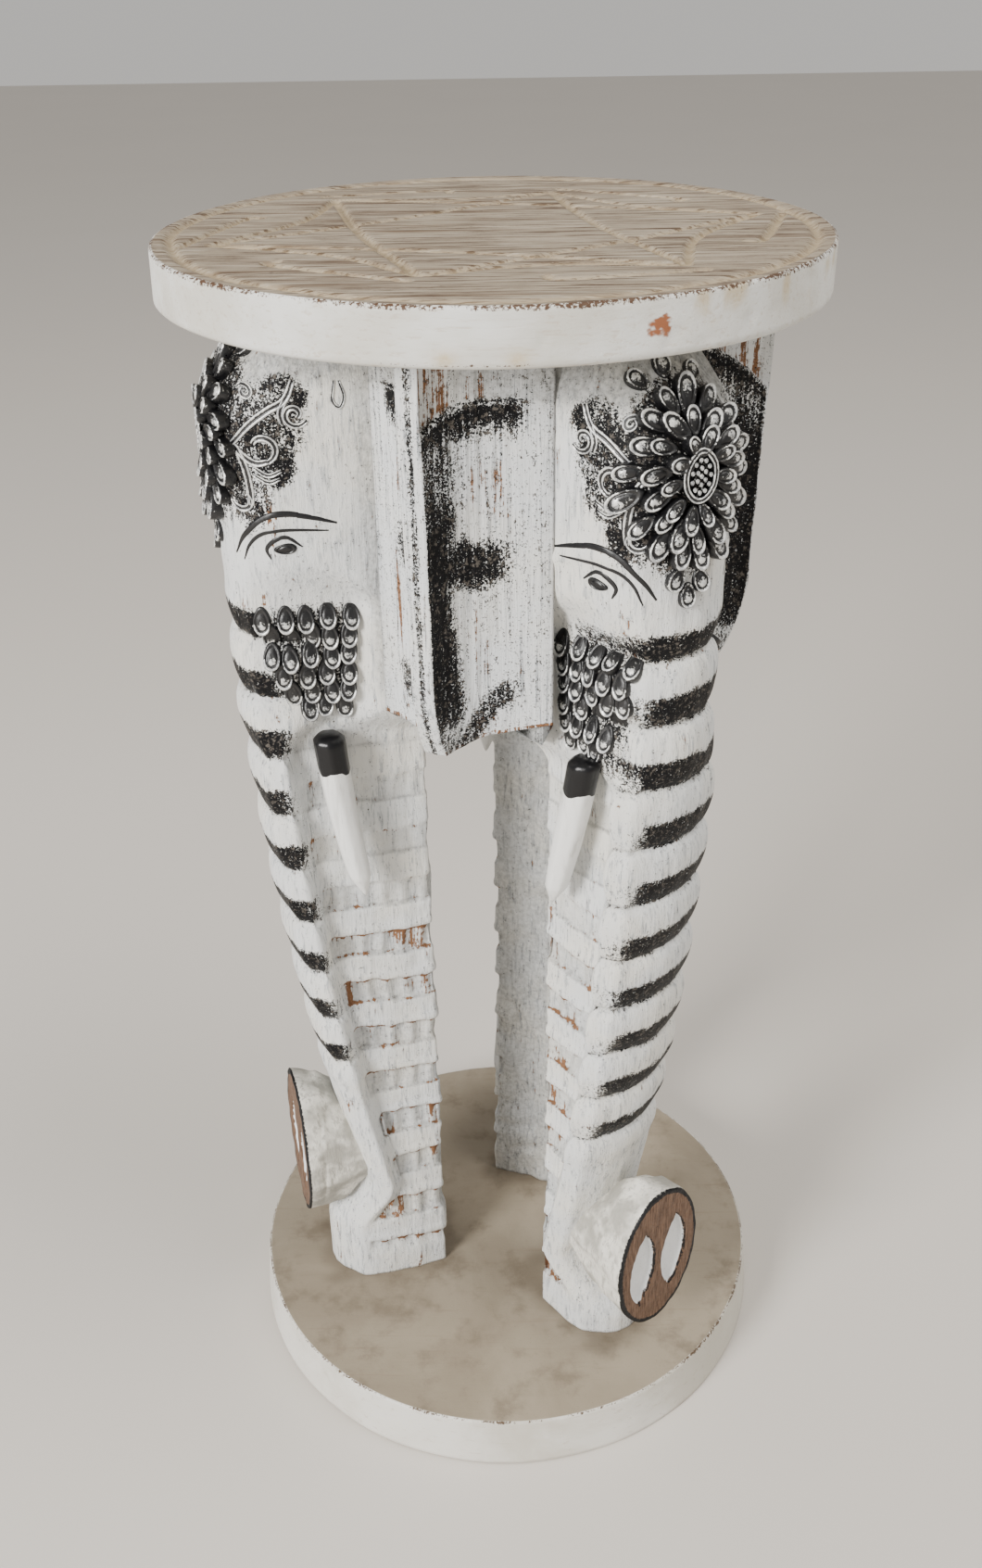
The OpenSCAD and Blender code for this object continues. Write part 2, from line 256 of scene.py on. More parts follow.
def soften_columns(p, passes):
    """Rounds the corners of every row of a closed grid."""
    for _ in range(passes):
        p = 0.5 * p + 0.25 * (np.roll(p, 1, 1) + np.roll(p, -1, 1))
    return p


def outline(rows, *points):
    """Half outlines, one for each row, from points that are numbers or one value per row."""
    return np.stack([np.stack([np.broadcast_to(v, rows) for v in p], -1) for p in points], 1)


def mixed(a, b, share):
    return a + (b - a) * np.asarray(share)[:, None, None]


def closed_grid(half, counts, z):
    """Turns half outlines into a closed grid, mirrored, with counts steps on each stretch.

    Also gives each column's place along the outline, and its side, 1 or -1."""
    place = np.concatenate([k + np.arange(n) / n for k, n in enumerate(counts)] + [[len(counts)]])
    k = np.minimum(place.astype(int), len(counts) - 1)
    t = (place - k)[None, :, None]
    side = half[:, k] * (1 - t) + half[:, k + 1] * t
    mirror = side[:, -2:0:-1] * np.array([1, -1])
    flat = np.concatenate([side, mirror], 1)
    places = np.concatenate([place, place[-2:0:-1]])
    sides = np.concatenate([np.ones(len(place)), -np.ones(len(place) - 2)])
    height = np.broadcast_to(z[:, None, None], (*flat.shape[:2], 1))
    return np.concatenate([flat, height], -1)[:, ::-1], places[::-1], sides[::-1]


class HeadFrame:
    """A head's own frame: X straight out, Y to the head's left, Z up."""

    def __init__(self, i):
        self.number = i
        self.bearing, self.tip_z, self.tip_half_h = tip_place(i)
        s, c = math.sin(self.bearing), math.cos(self.bearing)
        self.turn = np.array([[s, -c, 0], [c, s, 0], [0, 0, 1]])

    def to_world(self, p):
        return np.asarray(p) @ self.turn

    def to_head(self, p):
        return np.asarray(p) @ self.turn.T


class Carving:
    """The finished surface of one head, for laying ornaments on it."""

    def __init__(self, head, points, faces):
        self.head = head
        self.tree = BVHTree.FromPolygons(head.to_head(points).tolist(), faces)

    def hit(self, start, way):
        place, normal, _, _ = self.tree.ray_cast(Vector(start), Vector(way))
        if place is None:
            raise RuntimeError(f"nothing to carve on head {self.head.number} at {start}")
        normal = np.array(normal)
        if normal @ np.array(way) > 0:
            normal = -normal
        return np.array(place), normal

    def front(self, y, z):
        return self.hit((140.0, y, z), (-1.0, 0.0, 0.0))

    def flank(self, side, x, z):
        return self.hit((x, side * 70.0, z), (0.0, -float(side), 0.0))


CARVINGS = {}


# --------------------------------------------------------------- materials


class Finish:
    """A node material built step by step."""

    def __init__(self, name, rough=0.6, metal=0.0, coat=0.0, specular=0.5):
        self.material = bpy.data.materials.new(name)
        self.material.use_nodes = True
        self.nodes = self.material.node_tree.nodes
        self.links = self.material.node_tree.links
        self.shader = self.nodes["Principled BSDF"]
        self.shader.inputs["Roughness"].default_value = rough
        self.shader.inputs["Metallic"].default_value = metal
        self.shader.inputs["Coat Weight"].default_value = coat
        self.shader.inputs["Specular IOR Level"].default_value = specular
        self.place = self.nodes.new("ShaderNodeTexCoord").outputs["Object"]

    def put(self, socket, value):
        if isinstance(value, bpy.types.NodeSocket):
            self.links.new(value, socket)
        else:
            socket.default_value = value

    def mapped(self, scale):
        node = self.nodes.new("ShaderNodeMapping")
        node.inputs["Scale"].default_value = scale
        self.links.new(self.place, node.inputs["Vector"])
        return node.outputs["Vector"]

    def noise(self, scale, detail, roughness, warp=0.0):
        node = self.nodes.new("ShaderNodeTexNoise")
        node.inputs["Scale"].default_value = 1.0
        node.inputs["Detail"].default_value = detail
        node.inputs["Roughness"].default_value = roughness
        node.inputs["Distortion"].default_value = warp
        self.links.new(self.mapped(scale), node.inputs["Vector"])
        return node.outputs["Fac"]

    def mark(self, name):
        node = self.nodes.new("ShaderNodeAttribute")
        node.attribute_name = name
        return node.outputs["Fac"]

    def math(self, kind, a, b):
        node = self.nodes.new("ShaderNodeMath")
        node.operation = kind
        for socket, value in zip(node.inputs, (a, b)):
            self.put(socket, value)
        return node.outputs["Value"]

    def times(self, a, b):
        return self.math("MULTIPLY", a, b)

    def between(self, value, low, high, start=0.0, end=1.0):
        node = self.nodes.new("ShaderNodeMapRange")
        node.interpolation_type = "SMOOTHSTEP"
        for label, number in (("From Min", low), ("From Max", high), ("To Min", start), ("To Max", end)):
            node.inputs[label].default_value = number
        self.put(node.inputs["Value"], value)
        return node.outputs["Result"]

    def noise_sum(self, value, *noises):
        """A mark with noises added to it, each swinging about zero by its own weight."""
        for noise_value, weight in noises:
            swing = self.times(self.math("SUBTRACT", noise_value, 0.5), weight)
            value = self.math("ADD", value, swing)
        return value

    def mix(self, share, a, b):
        node = self.nodes.new("ShaderNodeMix")
        node.data_type = "RGBA"
        colours = [s for s in node.inputs if s.type == "RGBA"]
        self.put(node.inputs["Factor"], share)
        self.put(colours[0], a)
        self.put(colours[1], b)
        return next(s for s in node.outputs if s.type == "RGBA")

    def finish(self, base, rough=None, relief=(), strength=0.4, distance=0.0006):
        """Joins the colour, the roughness and the relief to the shader."""
        self.put(self.shader.inputs["Base Color"], base)
        if rough is not None:
            self.put(self.shader.inputs["Roughness"], rough)
        if relief:
            height = relief[0]
            for more in relief[1:]:
                height = self.math("ADD", height, more)
            node = self.nodes.new("ShaderNodeBump")
            node.inputs["Strength"].default_value = strength
            node.inputs["Distance"].default_value = distance
            self.links.new(height, node.inputs["Height"])
            self.links.new(node.outputs["Normal"], self.shader.inputs["Normal"])
        return self.material


def shade(tone, amount):
    return (*[c * amount for c in tone[:3]], 1.0)


def whitewash(name, grain, warm, streaks):
    """White paint over brown wood, rubbed along the grain, with sponged black where marked.

    grain squeezes the pattern along the wood: small numbers make long streaks."""
    f = Finish(name, specular=0.12)
    long_grain = [900 * g for g in grain]
    wide_grain = [260 * g for g in grain]
    fine = f.noise(long_grain, 5, 0.7)
    wide = f.noise(wide_grain, 4, 0.65, 0.4)
    patch = f.noise((38, 38, 38), 3, 0.55)
    speck = f.noise((1500, 1500, 1500), 2, 0.75)
    grit = f.noise((520, 520, 520), 3, 0.7)
    low, high = max(0.0, warm - 0.3), min(1.0, warm + 0.3)
    paint = f.mix(f.between(patch, 0.35, 0.7, low, high), colour("white"), colour("cream"))
    grey = f.times(f.between(fine, 0.50, 0.62), f.between(wide, 0.35, 0.62, 0.15, streaks))
    paint = f.mix(grey, paint, (0.33, 0.35, 0.37, 1.0))
    shadow = f.times(f.mark("shade"), f.between(grit, 0.35, 0.65, 0.45, 1.0))
    paint = f.mix(shadow, paint, (0.13, 0.13, 0.125, 1.0))
    worn = f.noise_sum(f.mark("wear"), (wide, 2.2), (fine, 1.8), (grit, 0.8))
    bare = f.between(worn, 0.50, 0.62)
    wood = f.mix(f.between(fine, 0.3, 0.7), colour("wood"), shade(colour("wood"), 2.1))
    paint = f.mix(bare, paint, wood)
    sponge = f.noise_sum(f.mark("ink"), (speck, 2.4), (grit, 1.5), (fine, 1.3))
    black = f.between(sponge, 0.48, 0.60)
    flecks = f.between(grit, 0.54, 0.66, 0, 0.8)
    soot = f.mix(flecks, colour("black"), (0.13, 0.115, 0.10, 1.0))
    paint = f.mix(black, paint, soot)
    rough = f.between(black, 0, 1, 0.66, 0.50)
    relief = (
        fine, f.times(wide, 0.9), f.times(grit, 0.5),
        f.times(bare, -0.5), f.times(black, -0.12),
    )
    return f.finish(paint, rough, relief, 0.6, 0.0009)


def head_finish():
    """The heads' whitewash, its grain running down the trunk."""
    return whitewash("head_whitewash", (0.8, 0.8, 0.10), 0.50, 0.8)


def ear_finish():
    return whitewash("ear_whitewash", (1, 1, 0.035), 0.15, 0.95)


def tip_finish():
    """The tip block's whitewash, with bare end wood, black edge, white nostrils and black painted shadow in
    the nostrils where marked.
    """
    f = Finish("tip_whitewash", specular=0.3)
    fine = f.noise((500, 500, 160), 5, 0.7)
    grit = f.noise((800, 800, 800), 3, 0.7)
    patch = f.noise((60, 60, 60), 3, 0.6)
    rings = f.noise((1400, 1400, 110), 5, 0.7, 0.3)
    paint = f.mix(f.between(patch, 0.40, 0.60), colour("cream"), (0.40, 0.385, 0.34, 1.0))
    paint = f.mix(f.between(fine, 0.50, 0.64, 0, 0.7), paint, (0.33, 0.315, 0.28, 1.0))
    shadow = f.times(f.mark("shade"), f.between(grit, 0.3, 0.7, 0.6, 1.0))
    paint = f.mix(shadow, paint, (0.15, 0.14, 0.12, 1.0))
    end_wood = f.mix(f.between(rings, 0.3, 0.7), (0.06, 0.03, 0.017, 1.0), (0.21, 0.125, 0.08, 1.0))
    paint = f.mix(f.between(f.mark("bare"), 0.4, 0.6), paint, end_wood)
    white = f.mix(f.between(grit, 0.6, 0.75, 0, 0.5), (0.78, 0.79, 0.80, 1.0), (0.4, 0.4, 0.4, 1.0))
    paint = f.mix(f.between(f.mark("white"), 0.4, 0.6), paint, white)
    # this black is the painted edge together with the painted shadow in the nostrils
    sponge = f.noise_sum(f.mark("ink"), (grit, 1.4))
    paint = f.mix(f.between(sponge, 0.45, 0.6), paint, colour("black"))
    relief = (f.times(rings, 0.8), f.times(fine, 0.6), f.times(grit, 0.4))
    return f.finish(paint, f.between(grit, 0.3, 0.7, 0.5, 0.72), relief, 0.45, 0.0006)


def ornament_finish():
    """Silvery white petals and vines with black rubbed into their hollows."""
    f = Finish("antique_silver_white", rough=0.3, specular=0.7)
    grit = f.noise((1300, 1300, 1300), 3, 0.75)
    cloud = f.noise((420, 420, 420), 3, 0.6)
    light = f.mix(f.between(cloud, 0.4, 0.62), (0.80, 0.80, 0.77, 1.0), (0.46, 0.47, 0.48, 1.0))
    sponge = f.noise_sum(f.mark("ink"), (grit, 2.0), (cloud, 1.2))
    black = f.between(sponge, 0.48, 0.60)
    paint = f.mix(black, light, colour("black"))
    f.put(f.shader.inputs["Metallic"], f.between(black, 0, 1, 0.35, 0.1))
    return f.finish(paint, f.between(grit, 0.3, 0.7, 0.26, 0.45), (grit,), 0.3, 0.0004)


def line_finish():
    """Black enamel for the brows, lids and pupils."""
    f = Finish("black_line", rough=0.32, specular=0.5)
    grit = f.noise((900, 900, 900), 3, 0.6)
    paint = f.mix(grit, shade(colour("black"), 0.6), shade(colour("black"), 1.8))
    return f.finish(paint, f.between(grit, 0.3, 0.7, 0.28, 0.4), (grit,), 0.2, 0.0002)


def tusk_finish():
    f = Finish("tusk_enamel", coat=0.1, specular=0.3)
    grain = f.noise((420, 420, 40), 4, 0.6)
    grit = f.noise((700, 700, 700), 3, 0.7)
    paint = f.mix(f.between(grain, 0.5, 0.72, 0, 0.5), colour("tusk"), (0.50, 0.49, 0.46, 1.0))
    worn = f.noise_sum(f.mark("wear"), (grit, 0.9))
    paint = f.mix(f.between(worn, 0.55, 0.75), paint, (0.30, 0.26, 0.20, 1.0))
    dark = f.noise_sum(f.mark("ink"), (grit, 0.25))
    black = f.between(dark, 0.42, 0.55)
    paint = f.mix(black, paint, colour("black"))
    return f.finish(paint, f.between(black, 0, 1, 0.42, 0.32), (grain, grit), 0.22, 0.0004)


def top_finish():
    """White side and rubbed top, its grain running from left to right."""
    f = Finish("top_wash", specular=0.3)
    streak = f.noise((24, 640, 640), 6, 0.72, 0.3)
    band = f.noise((9, 150, 150), 4, 0.6, 0.5)
    blotch = f.noise((26, 44, 44), 3, 0.55)
    grit = f.noise((900, 900, 900), 3, 0.7)
    pit = f.noise((170, 520, 400), 2, 0.5)
    face = f.mix(f.between(blotch, 0.35, 0.65), colour("top"), (0.29, 0.235, 0.17, 1.0))
    face = f.mix(f.between(band, 0.50, 0.68, 0, 0.75), face, (0.13, 0.08, 0.045, 1.0))
    face = f.mix(f.between(streak, 0.50, 0.60, 0, 0.95), face, (0.06, 0.03, 0.015, 1.0))
    face = f.mix(f.between(streak, 0.44, 0.36, 0, 0.7), face, (0.47, 0.42, 0.34, 1.0))
    dents = f.times(f.between(pit, 0.70, 0.74), f.between(band, 0.42, 0.6))
    face = f.mix(dents, face, (0.035, 0.02, 0.012, 1.0))
    face = f.mix(f.times(f.mark("groove"), 0.75), face, (0.46, 0.36, 0.22, 1.0))
    side = f.mix(f.between(blotch, 0.35, 0.65), (0.72, 0.72, 0.69, 1.0), (0.60, 0.58, 0.52, 1.0))
    side = f.mix(f.between(streak, 0.54, 0.64, 0, 0.45), side, (0.48, 0.40, 0.31, 1.0))
    stain = f.times(f.mark("stain"), f.between(grit, 0.2, 0.7, 0.5, 1.0))
    side = f.mix(stain, side, (0.52, 0.40, 0.22, 1.0))
    knot = f.noise_sum(f.mark("knot"), (pit, 1.2))
    side = f.mix(f.between(knot, 0.45, 0.7), side, (0.30, 0.11, 0.05, 1.0))
    paint = f.mix(f.mark("face"), side, face)
    edge = f.noise_sum(f.mark("wear"), (grit, 1.3), (blotch, 0.9))
    paint = f.mix(f.between(edge, 0.5, 0.66), paint, (0.085, 0.045, 0.025, 1.0))
    relief = (
        f.times(streak, -0.9), f.times(grit, 0.35), f.times(dents, -1.2),
    )
    return f.finish(paint, f.between(streak, 0.3, 0.7, 0.5, 0.7), relief, 0.4, 0.0007)


def base_finish():
    """Mottled thin wash on top, white side, thin dark rim."""
    f = Finish("base_wash", specular=0.3)
    cloud = f.noise((16, 16, 16), 5, 0.62, 0.6)
    mottle = f.noise((60, 60, 60), 6, 0.62)
    grit = f.noise((1000, 1000, 1000), 3, 0.7)
    grain = f.noise((20, 420, 420), 5, 0.65, 0.3)
    face = f.mix(f.between(cloud, 0.35, 0.65), colour("base"), (0.33, 0.28, 0.21, 1.0))
    face = f.mix(f.between(mottle, 0.48, 0.72, 0, 0.7), face, (0.17, 0.135, 0.095, 1.0))
    face = f.mix(f.between(grit, 0.60, 0.75, 0, 0.5), face, (0.19, 0.14, 0.10, 1.0))
    face = f.mix(f.between(grain, 0.58, 0.70, 0, 0.3), face, (0.22, 0.16, 0.11, 1.0))
    # painted shade round the feet, from the shade mark
    face = f.mix(f.times(f.mark("shade"), 0.75), face, (0.10, 0.075, 0.05, 1.0))
    side = f.mix(f.between(cloud, 0.35, 0.65), (0.72, 0.70, 0.65, 1.0), (0.57, 0.54, 0.47, 1.0))
    side = f.mix(f.between(grain, 0.57, 0.68, 0, 0.4), side, (0.46, 0.40, 0.32, 1.0))
    paint = f.mix(f.mark("face"), side, face)
    edge = f.noise_sum(f.mark("wear"), (grit, 1.0), (mottle, 0.8))
    paint = f.mix(f.between(edge, 0.52, 0.66), paint, (0.10, 0.065, 0.04, 1.0))
    relief = (f.times(mottle, 0.5), f.times(grit, 0.3), f.times(grain, -0.4))
    return f.finish(paint, f.between(mottle, 0.3, 0.7, 0.45, 0.68), relief, 0.3, 0.0006)


def plain_wood():
    f = Finish("dowel_wood", rough=0.6)
    grain = f.noise((700, 700, 60), 5, 0.65)
    return f.finish(f.mix(grain, (0.55, 0.36, 0.19, 1.0), (0.36, 0.21, 0.10, 1.0)), None, (grain,), 0.3)


def screw_steel():
    f = Finish("screw_steel", rough=0.35, metal=1.0)
    grit = f.noise((1200, 1200, 300), 3, 0.6)
    return f.finish(f.mix(grit, (0.50, 0.50, 0.50, 1.0), (0.34, 0.34, 0.35, 1.0)), None, (grit,), 0.15)


def floor_finish():
    f = Finish("pale_floor", rough=0.7, specular=0.2)
    cloud = f.noise((3, 3, 3), 3, 0.5)
    return f.finish(f.mix(cloud, colour("floor"), shade(colour("floor"), 0.96)))


# ------------------------------------------------------------------- heads

TRUNK_BACK = 33.0
TRUNK_DROOP = 20.0
DROOP_FOOT_Z = 150.0
FOOT_FRONT = 87.0
HEAD_BACK = 20.0
HEAD_HALF_W = 30.0
HEAD_FRONT = 104.0
BROW_Z = 385.0
HEAD_ROWS = 420
# Columns on each stretch of a head's half outline, from its back to its front.
HEAD_COLUMNS = (15, 20, 14, 16, 12, 12, 11, 9)
RING_TOPS = {1: 363.0, 2: 372.0, 3: 367.0}
ROSETTE_Z = 437.0
ROSETTE_SHIFTS = {1: 0.0, 2: -6.0, 3: 0.0}
BACK_CUTS = {1: 1.0, 2: 15.0, 3: 1.0}
TIP_SKEWS = {1: 0.09, 2: 0.0, 3: 0.05}
TUSK_ROOTS = {1: 72.0, 2: 76.0, 3: 74.0}
TUSK_LEANS = {1: 10.0, 2: 14.0, 3: 12.0}
EAR_ROOTS = {1: 50.0, -1: 64.0}


def trunk_front(z):
    """How far the trunk's front stands out at height z."""
    return HEAD_FRONT - TRUNK_DROOP * ((BROW_Z - np.minimum(z, BROW_Z)) / (BROW_Z - DROOP_FOOT_Z)) ** 2


def head_outlines(head, z):
    """Half outlines of a head at heights z, from the middle of its back to the middle of its front."""
    n = len(z)
    tip_low = head.tip_z - head.tip_half_h
    front = trunk_front(z)
    foot = 1 - ease(tip_low - 10, tip_low + 25, z)
    front = front * (1 - foot) + FOOT_FRONT * foot
    low = 1 - ease(30, 160, z)
    back_w = 15.0 + 2.0 * low
    side_w = 16.6 + 3.2 * low
    edge_w = 25.3 - 6.5 * foot
    trunk = outline(
        n, (TRUNK_BACK, 0), (TRUNK_BACK, back_w), (47, side_w - 0.6), (60, side_w), (front - 19, side_w),
        (front - 13, edge_w), (front - 5, edge_w - 4 - 3 * foot), (front - 1, 9 - 3 * foot), (front, 0),
    )
    cheek = outline(
        n, (HEAD_BACK, 0), (HEAD_BACK, HEAD_HALF_W), (40, HEAD_HALF_W), (50, 28.5),
        (57, 21), (84, 20.5), (97, 18.5), (102.5, 9), (HEAD_FRONT, 0),
    )
    brow = outline(
        n, (HEAD_BACK, 0), (HEAD_BACK, HEAD_HALF_W), (40, HEAD_HALF_W), (62, 29.8),
        (74, 28.8), (86, 27), (96, 21.5), (102, 11.5), (HEAD_FRONT + 0.5, 0),
    )
    shape = mixed(trunk, cheek, ease(316, 337, z))
    shape = mixed(shape, brow, ease(374, 398, z))
    rise = np.maximum(z - 446, 0)
    drop = 0.78 * rise**2 / (rise + 5)
    shoulder = np.maximum(z - 458, 0)
    tuck = 0.42 * shoulder**2 / (shoulder + 5)
    forward = np.clip((shape[..., 0] - 52) / 50, 0, 1)
    shape[..., 0] -= drop[:, None] * forward
    shape[..., 1] -= tuck[:, None] * np.clip((shape[..., 0] - 50) / 12, 0, 1) * np.sign(shape[..., 1])
    return shape


def ring_phase(i, z, wander):
    """Place within a ring, 0 at its upper edge and 1 in the groove under it."""
    pitch = sizes().ring_pitch / MM
    return np.mod((RING_TOPS[i] - z + wander) / pitch, 1.0)


def scroll_ground(x, y, z):
    """The dark ground behind the scrolls beside the forehead."""
    blobs = ((86, 444, 13, 14), (93, 421, 8, 13), (79, 455, 9, 7), (84, 432, 8, 9))
    inside = [1 - np.sqrt(((x - a) / w) ** 2 + ((z - b) / h) ** 2) for a, b, w, h in blobs]
    return ease(-0.28, 0.25, np.max(inside, axis=0)) * ease(14, 20, np.abs(y))


class HeadZones:
    """Where each kind of carving and paint lies on one head's surface."""

    def __init__(self, head, p, place, side):
        i = self.number = head.number
        seed = self.seed = 11 * i
        x, y, h = self.x, self.y, self.h = p[..., 0], p[..., 1], p[..., 2]
        self.side = side
        self.place = place = np.broadcast_to(place, x.shape)
        self.tip_high = head.tip_z + head.tip_half_h
        wander = 1.6 * noise(x / 22, y / 14, h / 40, seed)
        self.t = ring_phase(i, h, wander)
        self.ringed = bump(self.tip_high + 9, RING_TOPS[i] + 15, 7, h)
        self.in_front = ease(4.35, 4.9, place)
        self.on_side = bump(0.85, 4.25, 0.3, place)
        self.rear = 1 - ease(0.85, 1.1, place)
        self.off_middle = ease(12, 20, np.abs(y))
        self.on_cheek = ease(12, 17, np.abs(y))
        self.low_bands = (1 - ease(306, 322, h)) * ease(BASE_Z + 12, BASE_Z + 22, h)
        self.faint = 0.45 + 0.55 * (1 - ease(225, 260, h))
        self.rough_edge = 0.05 * noise(x / 6, y / 6, h / 9, seed + 1)
        self.recess = bump(0.52, 0.965, 0.045, self.t + self.rough_edge) * self.on_side * self.low_bands
        drift = 0.35 * noise(h / 26, 0 * h, side + 0 * h, seed + 2)
        self.gouge = np.abs(np.sin(np.pi * (x / 8.5 + drift)))
        self.oval = np.sqrt(((y - ROSETTE_SHIFTS[i]) / 25) ** 2 + ((h - ROSETTE_Z) / 32) ** 2)


def head_relief(w):
    """How far each point of a head stands out or is cut in."""
    x, y, h, t, seed = w.x, w.y, w.h, w.t, w.seed
    swell = np.sin(np.pi * t**0.75) ** 0.55
    rings = sizes().ring_depth / MM * (swell - 0.75) * w.in_front * w.ringed
    bands = -sizes().band_depth / MM * w.recess * w.faint * (0.45 + 0.75 * (1 - w.gouge**3))
    lips = 0.6 * w.on_side * w.low_bands * bump(0.36, 0.52, 0.05, t) * w.faint

    chips = rough_noise(x / 5, y / 5, h / 16, seed + 3)
    facets = np.abs(noise(x / 9, y / 9, h / 13, seed + 4)) - 0.4
    chisel = sizes().chisel / MM * (0.55 + 2.2 * w.rear * (h < 330)) * (0.6 * chips + 0.9 * facets)
    calm = 1 - 0.75 * ease(380, 392, h) * ease(3.0, 3.6, w.place)

    socket = -1.4 * np.exp(-(((x - 82) / 9) ** 2 + ((h - 400.5) / 5) ** 2)) * w.off_middle
    lid = 1.5 * np.exp(-(((x - 82) / 5.5) ** 2 + ((h - 401) / 3.2) ** 2)) * w.off_middle
    brow_line = 406 + 4.5 * np.cos((x - 82) / 11)
    brow = 0.9 * bump(60, 98, 4, x) * np.exp(-(((h - brow_line) / 3.0) ** 2)) * w.off_middle
    boss = 1.2 * (1 - ease(0.8, 1.1, w.oval)) * ease(84, 92, x)
    cheek_pad = 0.8 * bump(58, 92, 3, x) * bump(336, 372, 4, h) * w.on_cheek
    return rings + bands + lips + chisel * calm + socket + lid + brow + boss + cheek_pad


def head_ink(w):
    """Black paint: the stripes on the rings, and the grounds behind petals, scrolls and scales."""
    x, y, h, t, seed = w.x, w.y, w.h, w.t, w.seed
    stripe_edge = 0.05 * noise(x / 4, y / 4, h / 5, seed + 5)
    fray = 2.2 * noise(h / 9, w.side + 0 * h, 0 * h, seed + 6)
    left_reach = 1 - ease(9, 19, trunk_front(h) - x + fray)
    reach = np.where(y > 0, left_reach, 1 - ease(14, 25, fray - y))
    stripe_top = RING_TOPS[w.number] + 12
    stripes = bump(0.49, 0.98, 0.085, t + stripe_edge) * bump(w.tip_high + 22, stripe_top, 3, h)
    stripes = stripes * ease(3.9, 4.6, w.place) * (0.12 + 0.98 * reach)
    clouds = 0.5 * noise(x / 5, y / 5, h / 5, seed + 8) + 0.3 * noise(x / 2, y / 2, h / 2, seed + 9)
    ground = scroll_ground(x, y, h) * (0.80 + 0.60 * clouds)
    behind_petals = (1 - ease(0.82, 1.18, w.oval)) * ease(84, 92, x)
    cheek = bump(61, 91, 4, x) * bump(337, 374, 5, h) * w.on_cheek * 0.72
    cheek_top = bump(62, 90, 5, x) * bump(369, 375, 4, h) * w.on_cheek * 0.8
    lower_line = bump(0.955, 1.0, 0.012, t) * w.in_front * w.ringed * 0.5
    ink = np.max([stripes, ground, 0.92 * behind_petals, cheek, cheek_top, lower_line], axis=0)
    return np.maximum(ink, 0.02)


def head_wear(w):
    """Bare wood, along the edges and in the gouges of the bands, and in patches on the face."""
    x, y, h, t, seed = w.x, w.y, w.h, w.t, w.seed
    upper_line = np.exp(-(((t + w.rough_edge - 0.53) / 0.035) ** 2))
    edge_line = upper_line + 0.6 * np.exp(-(((t - 0.965) / 0.02) ** 2))
    streaky = 0.5 + 0.5 * noise(x / 2.2, y / 9, h / 14, seed + 10)
    patchy = ease(-0.1, 0.5, noise(x / 12, y / 12, h / 12, seed + 11))
    wear = 0.98 * edge_line * (0.55 + streaky) + 0.62 * w.recess * (0.4 * w.gouge**2 + streaky) * patchy
    strong = 0.30 + 0.70 * (1 - ease(225, 250, h))
    wear = wear * w.on_side * w.low_bands * strong
    patch = 0.4 * np.exp(-(((x - 86) / 5) ** 2 + ((h - 416) / 6) ** 2)) * w.off_middle
    chin = 0.45 * np.exp(-(((x - 93) / 4) ** 2 + ((h - 379) / 8) ** 2)) * w.on_cheek
    return np.clip(wear + patch + chin, 0, 1)


def head_shade(w):
    """Painted shade in the folds: under the top, behind the ears (partly a black wash there), inside the
    legs, under the rings and in the recessed bands.
    """
    x, y, h, t = w.x, w.y, w.h, w.t
    crown = ease(456, 463, h + 0.06 * (x - 60)) * ease(40, 52, x) * 0.6
    ear_fold = np.exp(-(((x - 51) / 6) ** 2)) * ease(326, 350, h) * ease(24, 28, np.abs(y)) * 0.55
    inner = w.rear * (1 - ease(322, 335, h)) * 0.45
    under_ring = 0.55 * bump(0.94, 1.0, 0.03, t) * (w.on_side * w.low_bands + w.in_front * w.ringed)
    folds = np.max([crown, ear_fold, inner, under_ring], axis=0)
    return np.clip(folds + 0.34 * w.recess * w.faint, 0, 1)


def cut_back_corner(p, cut):
    """Distance out of each point once the trunk's right back corner is cut off."""
    x, y, z = p[..., 0], p[..., 1], p[..., 2]
    chamfer = TRUNK_BACK + cut * np.clip((-y - 16 + cut) / (cut + 1.5), 0, 1)
    share = 1 - ease(312, 325, z)
    return np.where(y < 0, x + share * np.maximum(chamfer - x, 0), x)


def head_surface(i):
    """One head carved: its frame, points, faces and paint marks."""
    head = HeadFrame(i)
    z = np.linspace(BASE_Z, TOP_UNDER, HEAD_ROWS)
    p, place, side = closed_grid(head_outlines(head, z), HEAD_COLUMNS, z)
    p = soften_columns(p, 4)
    p[..., 0] = cut_back_corner(p, BACK_CUTS[i])
    zones = HeadZones(head, p, place, side)
    p = p + grid_normals(p) * head_relief(zones)[..., None]
    end_rows = np.isin(np.arange(HEAD_ROWS), (0, HEAD_ROWS - 1))[:, None]
    p[..., 2] = np.clip(np.where(end_rows, zones.h, p[..., 2]), BASE_Z, TOP_UNDER)
    marks = {"ink": head_ink(zones), "wear": head_wear(zones), "shade": head_shade(zones)}
    return head, head.to_world(p).reshape(-1, 3), tube_faces(HEAD_ROWS, p.shape[1]), marks


class PEDESTAL_OT_heads(bpy.types.Operator):
    """Carve the three heads with their trunks"""

    bl_idname = "pedestal.heads"
    bl_label = "Heads and trunks"

    def execute(self, context):
        finish = head_finish()
        for i in HEADS:
            head, points, faces, marks = head_surface(i)
            add_piece(f"carved_head_{i}", points, faces, marks, [finish], f"head_{i}")
            CARVINGS[i] = Carving(head, points, faces)
        return {"FINISHED"}


# -------------------------------------------------------------------- ears


